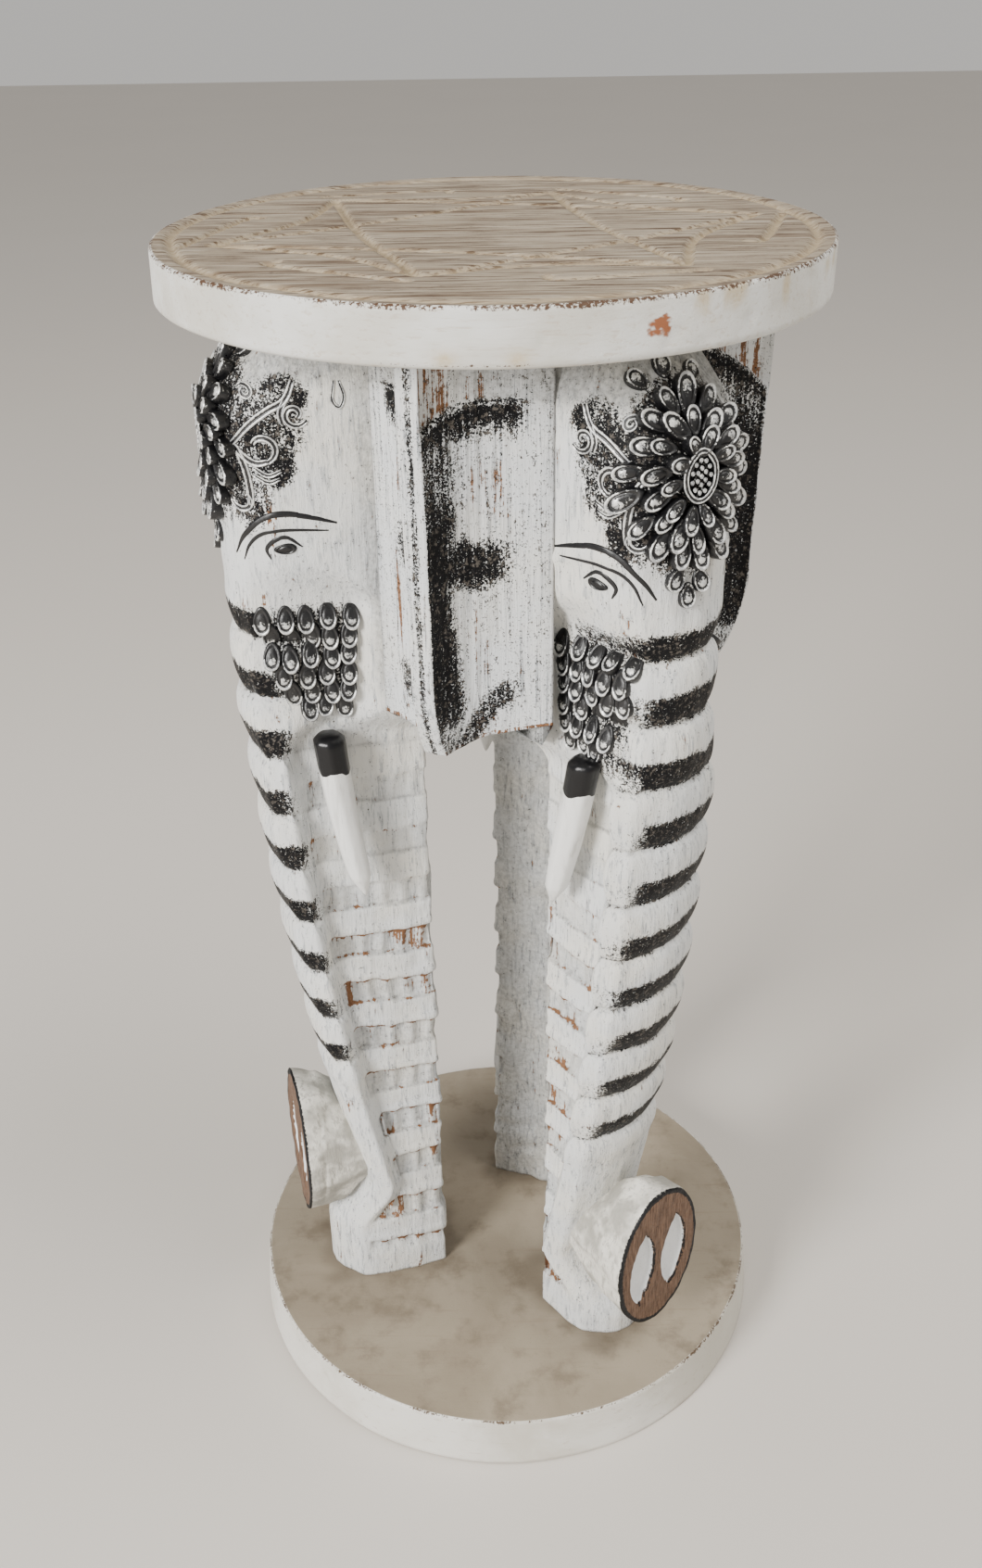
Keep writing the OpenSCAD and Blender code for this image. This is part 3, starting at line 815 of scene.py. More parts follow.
def ear_corners(i, side):
    """Half gap to the next head, ridge distance and lower edge, from the CAD ear's own box."""
    step = 1 if side > 0 else -1
    other = (i - 1 + step) % 3 + 1
    here, there = tip_place(i)[0], tip_place(other)[0]
    half_gap = ((there - here) * step) % (2 * math.pi) / 2
    low, high = mm_box(f"ear_{i}_{'left' if side > 0 else 'right'}")
    bearing = here + side * half_gap
    way = np.array([math.sin(bearing), -math.cos(bearing)])
    reach = [c / w for c, w in zip(np.where(way > 0, high[:2], low[:2]), way) if abs(w) > 0.5]
    return half_gap, min(reach), low[2]


def ear_surface(i, side):
    """A wedge of wood with a hollow face, its ridge at the middle between two heads."""
    head = HeadFrame(i)
    half_gap, ridge, low_z = ear_corners(i, side)
    rows, face_n, edge_n, back_n, root_n = 190, 60, 6, 16, 8
    z = np.linspace(low_z, TOP_UNDER, rows)
    h = z[:, None]
    way = np.array([math.cos(half_gap), math.sin(half_gap)])
    square = np.array([way[1], -way[0]])
    corner = np.clip((low_z + 34 - z) / 34, 0, 1)
    radius = ridge - 5.0 * (TOP_UNDER - z) / (TOP_UNDER - low_z) - 9.0 * corner**2.2
    tip_back = radius[:, None] * way + 0.12 * square
    tip_face = tip_back + 3.8 * square
    root = np.array([EAR_ROOTS[side], HEAD_HALF_W])
    back_root = np.array([HEAD_HALF_W / math.tan(half_gap) + 0.3, HEAD_HALF_W])

    def stretch(a, b, count):
        t = (np.arange(count) / count)[None, :, None]
        return np.broadcast_to(a, (rows, 2))[:, None] * (1 - t) + np.broadcast_to(b, (rows, 2))[:, None] * t

    loop = np.concatenate(
        [
            stretch(root, tip_face, face_n), stretch(tip_face, tip_back, edge_n),
            stretch(tip_back, back_root, back_n), stretch(back_root, root, root_n),
        ],
        1,
    )
    columns = loop.shape[1]
    u = np.concatenate([np.arange(face_n) / face_n, np.ones(edge_n), np.full(back_n + root_n, -1.0)])
    column = np.arange(columns)[None, :]
    on_face = (column < face_n) * np.ones((rows, 1))
    on_edge = (column >= face_n) & (column <= face_n + edge_n)
    u = np.clip(u, 0, 1)[None, :] + 0 * h
    seed = 40 + 7 * i + (3 if side > 0 else 0)
    y = loop[..., 1]
    dome = np.sqrt(np.maximum(52.0**2 - (y - 45.0) ** 2, 1.0))
    arc_top = 408.0 + dome + 0.8 * noise(y / 7, h / 9, 0 * y, seed)
    above = ease(-1.0, 1.2, h - arc_top)
    hollow = 7.0 * np.sin(np.pi * u) * (1 - 0.25 * above)
    grain = 0.35 * noise(y / 1.7, 0 * y, h / 26, seed + 1) + 0.25 * noise(y / 4, 0 * y, h / 15, seed + 2)
    grain = grain * ease(0.1, 0.3, u)
    loop[..., 0] += (-hollow - 2.6 * above * ease(0.15, 0.3, u) + grain) * on_face
    rim = 0.35 * noise(h / 11, 0 * h, 0 * h, seed + 3) * on_edge
    loop = loop + rim[..., None] * way
    p = np.concatenate([loop, np.broadcast_to(h[..., None], (rows, columns, 1))], -1)
    under = 1.2 * np.sin(np.pi * u) + 0.5 * noise(y / 5, 0 * y, 0 * y, seed + 4)
    rise = (11.0 if side < 0 else 3.0) * (1 - u) * on_face
    p[..., 2] = h + rise * np.clip((low_z + 45 - h) / 45, 0, 1) ** 2
    lift = np.clip((low_z + 14 - h) / 14, 0, 1) ** 2
    p[..., 2] = p[..., 2] - lift * under * on_face
    p[..., 1] *= side
    if side > 0:
        p = p[:, ::-1]

    def turned(values):
        values = np.broadcast_to(values, (rows, columns))
        return values[:, ::-1] if side > 0 else values

    seam = (column >= face_n + edge_n - 1) & (column < face_n + edge_n + 2)
    marks = ear_marks(h, u, low_z, h - arc_top, above, on_face, seam, seed)
    marks = {label: turned(values) for label, values in marks.items()}
    return head.to_world(p).reshape(-1, 3), tube_faces(rows, columns), marks


def ear_marks(h, u, low_z, over_arc, above, on_face, seam, seed):
    """Paint of an ear at heights h and shares u from its root to its ridge."""
    inner = 1 - ease(0.50, 0.72, u + 0.10 * noise(h / 7, u * 5, 0 * u, seed + 5))
    ragged = 0.05 * noise(h / 9, u * 4, 0 * u, seed + 6)
    near_ridge = ease(0.58, 0.80, u + ragged)
    ridge_band = near_ridge * (0.72 + 0.33 * bump(345, 425, 14, h)) * ease(low_z + 2, low_z + 16, h)
    arc_band = bump(-15, -0.6, 2.0, over_arc) * ease(0.10, 0.26, u) * ease(-20, -2, over_arc)
    top_fill = bump(-30, -8, 10, over_arc) * ease(0.42, 0.85, u) * 0.72
    bar = bump(396, 413, 5, h + 2.0 * noise(u * 8, h / 9, 0 * u, seed + 7)) * ease(0.12, 0.42, u)
    diagonal = 356 - 31 * ease(0.15, 0.95, u)
    low_bar = bump(-9, 7, 4.5, h - diagonal) * ease(0.12, 0.34, u) * 0.78
    foot_fill = ease(0.52, 0.85, u) * (1 - ease(335, 356, h)) * 0.58
    ink = np.max([ridge_band, 1.05 * arc_band, top_fill, 0.95 * bar, low_bar, foot_fill], axis=0)
    ink = np.maximum(ink * on_face * (1 - 0.93 * above), 0.2)
    ink = np.maximum(ink, 0.62 * seam)
    ink = np.maximum(ink, np.exp(-((over_arc / 0.9) ** 2)) * ease(0.1, 0.2, u) * on_face * 0.8)
    heights = bump(418, 440, 5, h) + bump(362, 392, 6, h) + bump(low_z, 345, 5, h)
    scratches = bump(0.22, 0.62, 0.08, u) * heights
    wear = 0.38 * scratches * on_face + 0.36 * above * bump(0.3, 1.1, 0.1, u) * on_face
    wear = wear + 0.26 * ridge_band * on_face
    wear = np.maximum(wear, 0.62 * (h < low_z + 2.0) * on_face)
    shading = 0.5 * ease(0.45, 1.0, above) * on_face * inner + 0.25 * (1 - ease(0.0, 0.14, u)) * on_face
    return {"ink": ink, "wear": wear, "shade": shading}


class PEDESTAL_OT_ears(bpy.types.Operator):
    """Cut the six ears that meet back to back between the heads"""

    bl_idname = "pedestal.ears"
    bl_label = "Ears"

    def execute(self, context):
        finish = ear_finish()
        for i in HEADS:
            for label, side in SIDES.items():
                points, faces, marks = ear_surface(i, side)
                node = f"ear_{i}_{label}"
                add_piece(f"carved_{node}", points, faces, marks, [finish], node)
        return {"FINISHED"}


# --------------------------------------------------------------- ornaments


class Pile:
    """Gathers small closed solids into one piece."""

    def __init__(self):
        self.points, self.faces, self.ink = [], [], []
        self.count = 0

    def add(self, points, faces, ink):
        self.points.append(np.asarray(points).reshape(-1, 3))
        self.faces.extend([[k + self.count for k in face] for face in faces])
        self.ink.append(np.asarray(ink, float).ravel())
        self.count += len(self.points[-1])

    def piece(self, name, head, finish):
        points = head.to_world(np.concatenate(self.points))
        add_piece(name, points, self.faces, {"ink": np.concatenate(self.ink)}, [finish])


# One petal from its middle to its foot: share of the outline, height, darkness.
PETAL_SECTION = (
    (0.10, 0.95, 0.05), (0.32, 1.0, 0.10), (0.50, 0.75, 0.35), (0.58, 0.35, 1.0), (0.69, 0.35, 1.0),
    (0.76, 0.92, 0.0), (0.84, 0.95, 0.0), (0.92, 0.50, 0.95), (1.0, -0.3, 1.0), (0.93, -1.3, 1.0),
)


def add_petal(pile, at, normal, way, length, width, height, tilt=0.12, open_end=0.0):
    """A rounded tongue with a raised edge round its tip, lying on the surface, its tip towards way.

    open_end sinks and darkens the end away from the tip."""
    way = way - normal * (way @ normal)
    way = way / np.linalg.norm(way)
    across = np.cross(normal, way)
    steps = 20
    angle = 2 * np.pi * np.arange(steps) / steps
    tongue = np.stack([np.cos(angle), np.sin(angle) * (0.86 + 0.14 * np.cos(angle))], -1)
    rows, ink = [], []
    for share, rise, dark in PETAL_SECTION:
        a = tongue[:, :1] * share * length / 2
        b = tongue[:, 1:] * share * width / 2
        root = np.clip(0.5 - 0.5 * tongue[:, :1] * share, 0, 1)
        up = height * rise * (1 - open_end * root) + tilt * (a + length / 2)
        if rise < 0:
            up = np.full_like(a, height * rise)
        rows.append(at + a * way + b * across + up * normal)
        ink.append(np.clip(dark + open_end * ease(0.22, 0.62, root), 0, 1)[:, 0])
    pile.add(np.stack(rows), tube_faces(len(rows), steps), np.stack(ink))


def add_bead(pile, at, normal, radius):
    """A pale bead with a dark foot."""
    way = np.array([0.0, 0.0, 1.0])
    add_petal(pile, at, normal, way, 2 * radius, 2 * radius, radius * 0.9, 0.0)
    pile.ink[-1][:] = np.where(pile.ink[-1] > 0.5, 0.8, 0.1)


def add_strip(pile, places, normals, width, section, taper=0.0):
    """A strip along places on the surface. section gives its (across, up, ink) points."""
    places, normals = np.asarray(places), np.asarray(normals)
    along = np.gradient(places, axis=0)
    along /= np.maximum(np.linalg.norm(along, axis=1, keepdims=True), 1e-9)
    across = np.cross(normals, along)
    across /= np.maximum(np.linalg.norm(across, axis=1, keepdims=True), 1e-9)
    s = np.linspace(0, 1, len(places))
    shape = 1 - taper * (1 - np.sin(np.pi * np.clip(s, 0.02, 0.98)) ** 0.6)
    rows = [
        places + a * width * shape[:, None] * across + up * normals * (0.35 + 0.65 * shape[:, None])
        for a, up, _ in section
    ]
    ink = np.broadcast_to([k for _, _, k in section], (len(places), len(section)))
    pile.add(np.stack(rows, 1), tube_faces(len(places), len(section)), ink)


VINE = (
    (-0.5, -0.6, 1), (-0.54, 0.0, 1), (-0.40, 0.45, 0), (-0.28, 0.5, 0), (-0.14, 0.1, 1), (0.14, 0.1, 1),
    (0.28, 0.5, 0), (0.40, 0.45, 0), (0.54, 0.0, 1), (0.5, -0.6, 1),
)
LINE = ((-0.5, -0.4, 1), (-0.5, 0.04, 1), (-0.2, 0.16, 1), (0.2, 0.16, 1), (0.5, 0.04, 1), (0.5, -0.4, 1))


def spiral(middle, start_radius, end_radius, start, turns, count=26):
    """Points of a curl that winds inwards, in a flank's own plane."""
    t = np.linspace(0, 1, count)
    radius = start_radius + (end_radius - start_radius) * t
    angle = start + 2 * np.pi * turns * t
    return np.stack([middle[0] + radius * np.cos(angle), middle[1] + radius * np.sin(angle)], -1)


def on_flank(carving, side, path):
    hits = [carving.flank(side, x, z) for x, z in path]
    return [h[0] for h in hits], [h[1] for h in hits]


def flank_vines():
    """The scrolls beside the forehead, each as points (out, up) and a width."""
    return (
        (curve_through([(97.0, 438.5), (91, 445), (84.5, 450), (78.5, 453.5), (75.2, 460)], 26), 2.0),
        (curve_through([(78.5, 453.5), (80.2, 449), (79.6, 445.5)], 10), 1.7),
        (spiral((75.4, 448.6), 4.4, 1.2, math.pi * 1.15, 1.05), 1.6),
        (curve_through([(96.5, 438), (93.5, 434.2), (89.6, 431.8), (85.5, 432.6)], 16), 1.9),
        (spiral((87.2, 437.0), 4.9, 3.4, -math.pi * 0.60, -0.62), 1.8),
        (curve_through([(96, 438), (93.4, 430), (92.3, 422), (92.2, 416.5)], 18), 2.0),
        (spiral((95.2, 417.8), 3.2, 2.4, 0.0, -0.62, 18), 1.8),
        (spiral((91.0, 455.8), 2.4, 0.9, 0.4, 1.1, 18), 1.5),
        (curve_through([(90.5, 430.2), (86, 427.6), (81.4, 429.2)], 12), 1.3),
        (curve_through([(91, 427.8), (86, 425.2), (82, 426.4)], 12), 1.2),
        (curve_through([(61.6, 459.5), (62.6, 453), (60.2, 450.4), (58.6, 454), (60, 459.4)], 16), 1.0),
    )


def add_rosette(pile, carving):
    """Tiers of petals round a beaded oval on the forehead."""
    shift = ROSETTE_SHIFTS[carving.head.number]
    tiers = (
        (18.6, 24.5, 17, 13.0, 7.8, 1.7, 0.0), (13.6, 18.2, 14, 12.0, 7.4, 1.9, 0.5),
        (8.8, 12.4, 10, 10.0, 6.6, 2.0, 0.0),
    )
    for half_w, half_h, count, length, width, height, offset in tiers:
        for k in range(count):
            a = 2 * math.pi * (k + offset) / count
            wobble = 0.9 * math.sin(5.1 * k + half_w)
            y = shift + (half_w + wobble) * math.cos(a)
            z = ROSETTE_Z + (half_h + wobble) * math.sin(a)
            at, normal = carving.front(y, z)
            way = np.array([-0.35 * abs(math.cos(a)), math.cos(a) / half_w, math.sin(a) / half_h])
            way[1:] /= np.linalg.norm(way[1:])
            way[2] -= 0.25
            lift = 0.5 + 0.9 * (22 - half_w) / 10
            size = 1 + 0.12 * math.sin(3.7 * k + half_h)
            at = at + normal * lift
            add_petal(pile, at, normal, way, length * size, width * size, height, 0.17, 0.85)
    for y, z in ((-5.0, 404.0), (4.5, 402.0), (-0.5, 397.5), (-9.5, 467.0), (9.5, 467.0), (0.0, 470.0)):
        at, normal = carving.front(y + shift, z)
        way = np.array([0.0, y / 12, np.sign(z - ROSETTE_Z)])
        add_petal(pile, at, normal, way, 9.5, 7.8, 1.6, 0.12, 0.6)
    ring_at = [
        carving.front(shift + 5.4 * math.cos(a), ROSETTE_Z + 2 + 8.0 * math.sin(a))
        for a in np.linspace(0, 2 * math.pi, 40)
    ]
    lifted = [at + 2.6 * n for at, n in ring_at]
    add_strip(pile, lifted, [n for _, n in ring_at], 2.0, VINE)
    for ring, count in ((0.0, 1), (1.7, 6), (3.4, 11)):
        for k in range(count):
            a = 2 * math.pi * (k + 0.3 * ring) / count
            at, normal = carving.front(shift + ring * math.cos(a), ROSETTE_Z + 2 + 1.6 * ring * math.sin(a))
            add_bead(pile, at + normal * 2.2, normal, 0.85)


# Rows of cheek scales: height, and how far out the front and the back end of the row lie.
SCALE_ROWS = (
    (371, 92.5, 60.5), (363.6, 89.0, 61.0), (356.2, 90.5, 61.5), (348.8, 86.5, 62.0),
    (341.4, 83.0, 62.5), (335.0, 78.5, 64.5),
)
SCALE_PITCH = 7.4


def add_scales(pile, carving, side):
    """Rows of half round scales on the cheek, each row shifted against the last."""
    for row, (z, first, last) in enumerate(SCALE_ROWS):
        count = int(round((first - last) / SCALE_PITCH)) + 1
        for k in range(count):
            x = first + (last - first) * k / (count - 1) + 0.5 * math.sin(4.3 * k + 2.1 * row)
            up = z + 0.7 * math.sin(2.9 * k + row)
            at, normal = carving.flank(side, x, up)
            way = np.array([0.10 * math.sin(3.1 * k + row), 0.0, -1.0])
            add_petal(pile, at + normal * 0.1, normal, way, 11.5, 8.0, 1.35, 0.15, 1.0)


def brow_lines():
    """Brow and lids on a flank: points (out, up) and a width."""
    return (
        ([(99.0, 397.0), (95.6, 405.5), (89.3, 412.0), (81.8, 413.8), (73, 412.3), (63.6, 409.6)], 2.3),
        ([(96.6, 395.5), (94.3, 401.6), (89.9, 406.0), (84.0, 407.6), (75.5, 407.7), (66.8, 407.3)], 1.5),
        ([(87.4, 396.6), (88.6, 400.4), (85.6, 403.9), (81.2, 404.8), (76.2, 401.2)], 1.7),
    )


class PEDESTAL_OT_ornaments(bpy.types.Operator):
    """Lay the rosette, the scrolls and the cheek scales on each head"""

    bl_idname = "pedestal.ornaments"
    bl_label = "Rosettes, scrolls and scales"

    def execute(self, context):
        finish = ornament_finish()
        for i in HEADS:
            carving = CARVINGS[i]
            rosette = Pile()
            add_rosette(rosette, carving)
            rosette.piece(f"rosette_{i}", carving.head, finish)
            for label, side in SIDES.items():
                scrolls = Pile()
                for path, width in flank_vines():
                    places, normals = on_flank(carving, side, path)
                    add_strip(scrolls, places, normals, 1.4 * width, VINE, 0.35)
                scrolls.piece(f"scrolls_{i}_{label}", carving.head, finish)
                scales = Pile()
                add_scales(scales, carving, side)
                scales.piece(f"cheek_scales_{i}_{label}", carving.head, finish)
        return {"FINISHED"}


class PEDESTAL_OT_eyes(bpy.types.Operator):
    """Draw the brows, the lids and the pupils"""

    bl_idname = "pedestal.eyes"
    bl_label = "Eyes and brows"

    def execute(self, context):
        finish = line_finish()
        for i in HEADS:
            carving = CARVINGS[i]
            for label, side in SIDES.items():
                lines = Pile()
                for points, width in brow_lines():
                    places, normals = on_flank(carving, side, curve_through(points, 44))
                    add_strip(lines, places, normals, width, LINE, 0.8)
                at, normal = carving.flank(side, 82.3, 400.6)
                way = np.array([-1.0, 0.0, 0.12])
                add_petal(lines, at - normal * 0.25, normal, way, 8.4, 5.0, 0.55, 0.0)
                lines.piece(f"eye_{i}_{label}", carving.head, finish)
        return {"FINISHED"}


# ------------------------------------------------------------------- tusks


def tusk_surface(i, side):
    """A faceted tusk, slightly curved, with a rounded root."""
    head = HeadFrame(i)
    low, high = mm_box(f"tusk_{i}_{'left' if side > 0 else 'right'}")
    rows, columns = 46, 30
    s = np.linspace(0, 1, rows)
    root = np.array([TUSK_ROOTS[i], side * 25.0, high[2]])
    tip = np.array([TUSK_ROOTS[i] - TUSK_LEANS[i], side * 28.0, low[2]])
    bow = np.array([1.0, side * 0.6, 0.0])
    line = root + (tip - root) * s[:, None] + bow * (np.sin(np.pi * s) * 1.2)[:, None]
    body = 6.5 - 1.0 * s - 1.9 * s**4
    cap = np.sqrt(np.clip(1 - (1 - np.clip(s / 0.035, 0, 1)) ** 2, 0, 1))
    point = np.clip((1 - s) / 0.13, 0, 1) ** 0.75
    radius = body * (0.72 + 0.28 * cap) * (0.10 + 0.90 * point)
    angle = 2 * np.pi * np.arange(columns) / columns
    facets = 7
    wedge = np.mod(angle * facets / (2 * np.pi) + 0.3 * i, 1) - 0.5
    flat = math.cos(math.pi / facets) / np.cos(wedge * 2 * math.pi / facets)
    flat = 1 - 0.75 * (1 - flat / flat.max())
    ring = radius[:, None] * flat[None, :]
    ring = ring * (1 + 0.012 * noise(s[:, None] * 9, angle[None, :] * 2, 0 * ring, 70 + i))
    p = np.stack(
        [line[:, :1] + ring * np.cos(angle), line[:, 1:2] + ring * np.sin(angle), line[:, 2:] + 0 * ring],
        -1,
    )
    edge = sizes().black_root + 0.006 * np.sin(3 * angle)[None, :] + 0 * ring
    ink = 1 - ease(-0.008, 0.008, s[:, None] - edge)
    wear = 0.30 * (1 - ease(0.0, 0.10, np.abs(s[:, None] - edge))) * (s[:, None] > edge)
    wear = wear + 0.25 * ease(0.90, 1.0, s)[:, None]
    points = head.to_world(p[::-1]).reshape(-1, 3)
    return points, tube_faces(rows, columns), {"ink": ink[::-1], "wear": wear[::-1]}


class PEDESTAL_OT_tusks(bpy.types.Operator):
    """Whittle the six tusks"""

    bl_idname = "pedestal.tusks"
    bl_label = "Tusks"

    def execute(self, context):
        finish = tusk_finish()
        for i in HEADS:
            for label, side in SIDES.items():
                points, faces, marks = tusk_surface(i, side)
                node = f"tusk_{i}_{label}"
                add_piece(f"whittled_{node}", points, faces, marks, [finish], node)
        return {"FINISHED"}


# -------------------------------------------------------------- trunk tips


TIP_FRONT = 102.0
TIP_HALF_W = 24.0


def tip_surface(i):
    """A hewn block that wedges over the trunk, with an oval end face and two nostrils."""
    head = HeadFrame(i)
    columns = 120
    front, half_w, half_h = TIP_FRONT, TIP_HALF_W, head.tip_half_h
    angle = 2 * np.pi * np.arange(columns) / columns
    c, s = np.cos(angle), np.sin(angle)
    facets = 9
    wedge = np.mod(angle * facets / (2 * np.pi) + 0.37 * i, 1) - 0.5
    hewn = math.cos(math.pi / facets) / np.cos(wedge * 2 * math.pi / facets)
    oval = np.stack([half_w * c, half_h * s], -1)
    block = np.stack([(half_w - 0.5) * c * hewn, (half_h - 1.0) * s * hewn], -1)
    collar = np.stack([(half_w - 2.5) * c * hewn, (half_h * 0.86) * s * hewn - 2], -1)
    wedge_end = np.stack([18.5 * np.sign(c) * np.abs(c) ** 0.5, 4 * s - 1], -1)
    # Sections from the wedge's end to the end face: distance out and shape.
    stations = (
        (56.0, wedge_end), (70.0, 0.55 * collar + 0.45 * wedge_end), (80.0, collar), (88.0, block),
        (99.5, oval * 0.995), (101.4, oval), (front, oval * 0.985),
    )
    rows, marks = [], {"ink": [], "bare": [], "white": [], "shade": []}

    def add_row(points, ink=0.0, bare=0.0, white=0.0, dark=0.0):
        rows.append(points)
        for label, value in zip(("ink", "bare", "white", "shade"), (ink, bare, white, dark)):
            marks[label].append(np.broadcast_to(value, columns))

    for (x0, a), (x1, b) in zip(stations, stations[1:]):
        steps = max(2, int((x1 - x0) / 1.3))
        for k in range(steps):
            t = k / steps
            flat = a * (1 - t) + b * t
            x = x0 + (x1 - x0) * t
            chip = 0.8 * noise(flat[:, 0] / 7, flat[:, 1] / 9, 0 * c + x / 7, 90 + i)
            facet = np.abs(noise(flat[:, 0] / 16, flat[:, 1] / 16, 0 * c + x / 11, 93 + i))
            chip = chip + 2.4 * facet - 0.6
            flat = flat * (1 + chip[:, None] / half_h)
            crack = 0.9 * np.exp(-(((flat[:, 1] + 1) / 1.0) ** 2)) * (x < 96)
            add_row(
                np.stack([0 * c + x, flat[:, 0], flat[:, 1] + head.tip_z], -1),
                ink=0.8 * ease(100.2, 101.4, x), dark=0.55 * crack,
            )
    lobes = 0.40 * half_w
    reach_h, reach_w = 0.56 * half_h, 0.31 * half_w
    for share in np.linspace(0.985, 0.02, 44):
        flat = oval * share
        y, z = flat[:, 0], flat[:, 1]
        lean = y - 0.06 * z
        along = np.clip(np.abs((z + 2) / reach_h), 0, 1)
        width = reach_w * (1 - along**2.2)
        inside = np.max([width - np.abs(lean - lobes), width - np.abs(lean + lobes)], axis=0)
        inside = np.where(np.abs(z + 2) < reach_h, inside, -np.abs(np.abs(z + 2) - reach_h) - 0.2)
        hole = ease(-0.3, 1.0, inside)
        x = front - 2.2 * hole + 0.25 * noise(y / 3, z / 5, 0 * y, 95 + i)
        # painted shadow along the nostrils' inner edges, put into the black ink mark beside the real black
        # rim
        shadow = np.exp(-((inside / 0.55) ** 2)) * ((lean - np.sign(lean) * lobes) > -0.5)
        rim = 0.9 * ease(0.90, 0.955, share)
        add_row(
            np.stack([x, y, z + head.tip_z], -1), ink=np.maximum(0.75 * shadow, rim), bare=1.0,
            white=ease(0.1, 0.5, inside),
        )
    p = np.stack(rows)
    p[..., 0] -= TIP_SKEWS[i] * (p[..., 1] + half_w + 20) * ease(84, 98, p[..., 0])
    points = head.to_world(p).reshape(-1, 3)
    faces = tube_faces(len(rows), columns)
    return points, faces, {k: np.stack(v) for k, v in marks.items()}


class PEDESTAL_OT_tips(bpy.types.Operator):
    """Hew the three trunk tips with their nostrils"""

    bl_idname = "pedestal.tips"
    bl_label = "Trunk tips"

    def execute(self, context):
        finish = tip_finish()
        for i in HEADS:
            points, faces, marks = tip_surface(i)
            add_piece(f"hewn_tip_{i}", points, faces, marks, [finish], f"trunk_tip_{i}")
        return {"FINISHED"}


# ------------------------------------------------------------------- discs


def star_curves():
    """The grooves in the top: a curved star, and arcs between its points and the rim."""
    count = sizes().star_points
    turn = math.radians(13)
    tips = []
    for k in range(count):
        reach = (97, 78, 88)[k % 3]
        a = turn + 2 * math.pi * k / count
        tips.append(np.array([reach * math.cos(a), reach * math.sin(a)]))
    curves = []
    for k in range(count):
        a, b = tips[k], tips[(k + 2) % count]
        middle = (a + b) / 2
        inward = -middle / np.linalg.norm(middle)
        curves.append(curve_through([a, middle + inward * (5 if k % 2 else -4), b], 40))
        a, b = tips[k], tips[(k + 1) % count]
        middle = (a + b) / 2
        inward = -middle / np.linalg.norm(middle)
        curves.append(curve_through([a, middle + inward * 9, b], 30))
        out_a, out_b = a * 1.08 - inward * 2, b * 1.08 - inward * 2
        curves.append(curve_through([out_a * 0.55 + out_b * 0.45, middle - inward * 13, out_b], 22))
    return curves


def near_curves(x, y, curves):
    """Distance from each point to the nearest curve."""
    best = np.full(x.shape, 1e9)
    for curve in curves:
        for (ax, ay), (bx, by) in zip(curve, curve[1:]):
            dx, dy = bx - ax, by - ay
            t = np.clip(((x - ax) * dx + (y - ay) * dy) / (dx * dx + dy * dy), 0, 1)
            best = np.minimum(best, (x - ax - t * dx) ** 2 + (y - ay - t * dy) ** 2)
    return np.sqrt(best)


def disc_grid(low_z, high_z, low_r, high_r, columns, face_rows, side_rows, round_mm):
    """A closed disc as a grid: from its underside's middle, round its side, to its upper middle."""
    under = [(r, low_z) for r in np.linspace(2, low_r - round_mm, 14)]
    t = np.linspace(0, 1, side_rows)
    side_r = low_r + (high_r - low_r) * t
    side = [(r, low_z + round_mm + (high_z - low_z - 2 * round_mm) * k) for r, k in zip(side_r, t)]
    corner = []
    for a in np.linspace(0.4, 1.3, 3):
        corner.append((high_r - round_mm * (1 - math.cos(a)), high_z - round_mm * (1 - math.sin(a))))
    upper = [(r, high_z) for r in np.linspace(high_r - round_mm, 1.0, face_rows)]
    profile = np.array(under + side + corner + upper)
    angle = 2 * np.pi * np.arange(columns) / columns
    r, z = profile[:, :1], profile[:, 1:]
    p = np.stack([r * np.cos(angle), r * np.sin(angle), z + 0 * angle], -1)
    first_upper = len(under) + len(side) + len(corner)
    return p, len(under), first_upper


# Bearings in degrees, on the top's side, of two filled nail holes and a knot.
FILLED_HOLES = (-7.0, 3.2)
KNOT_BEARING = 24


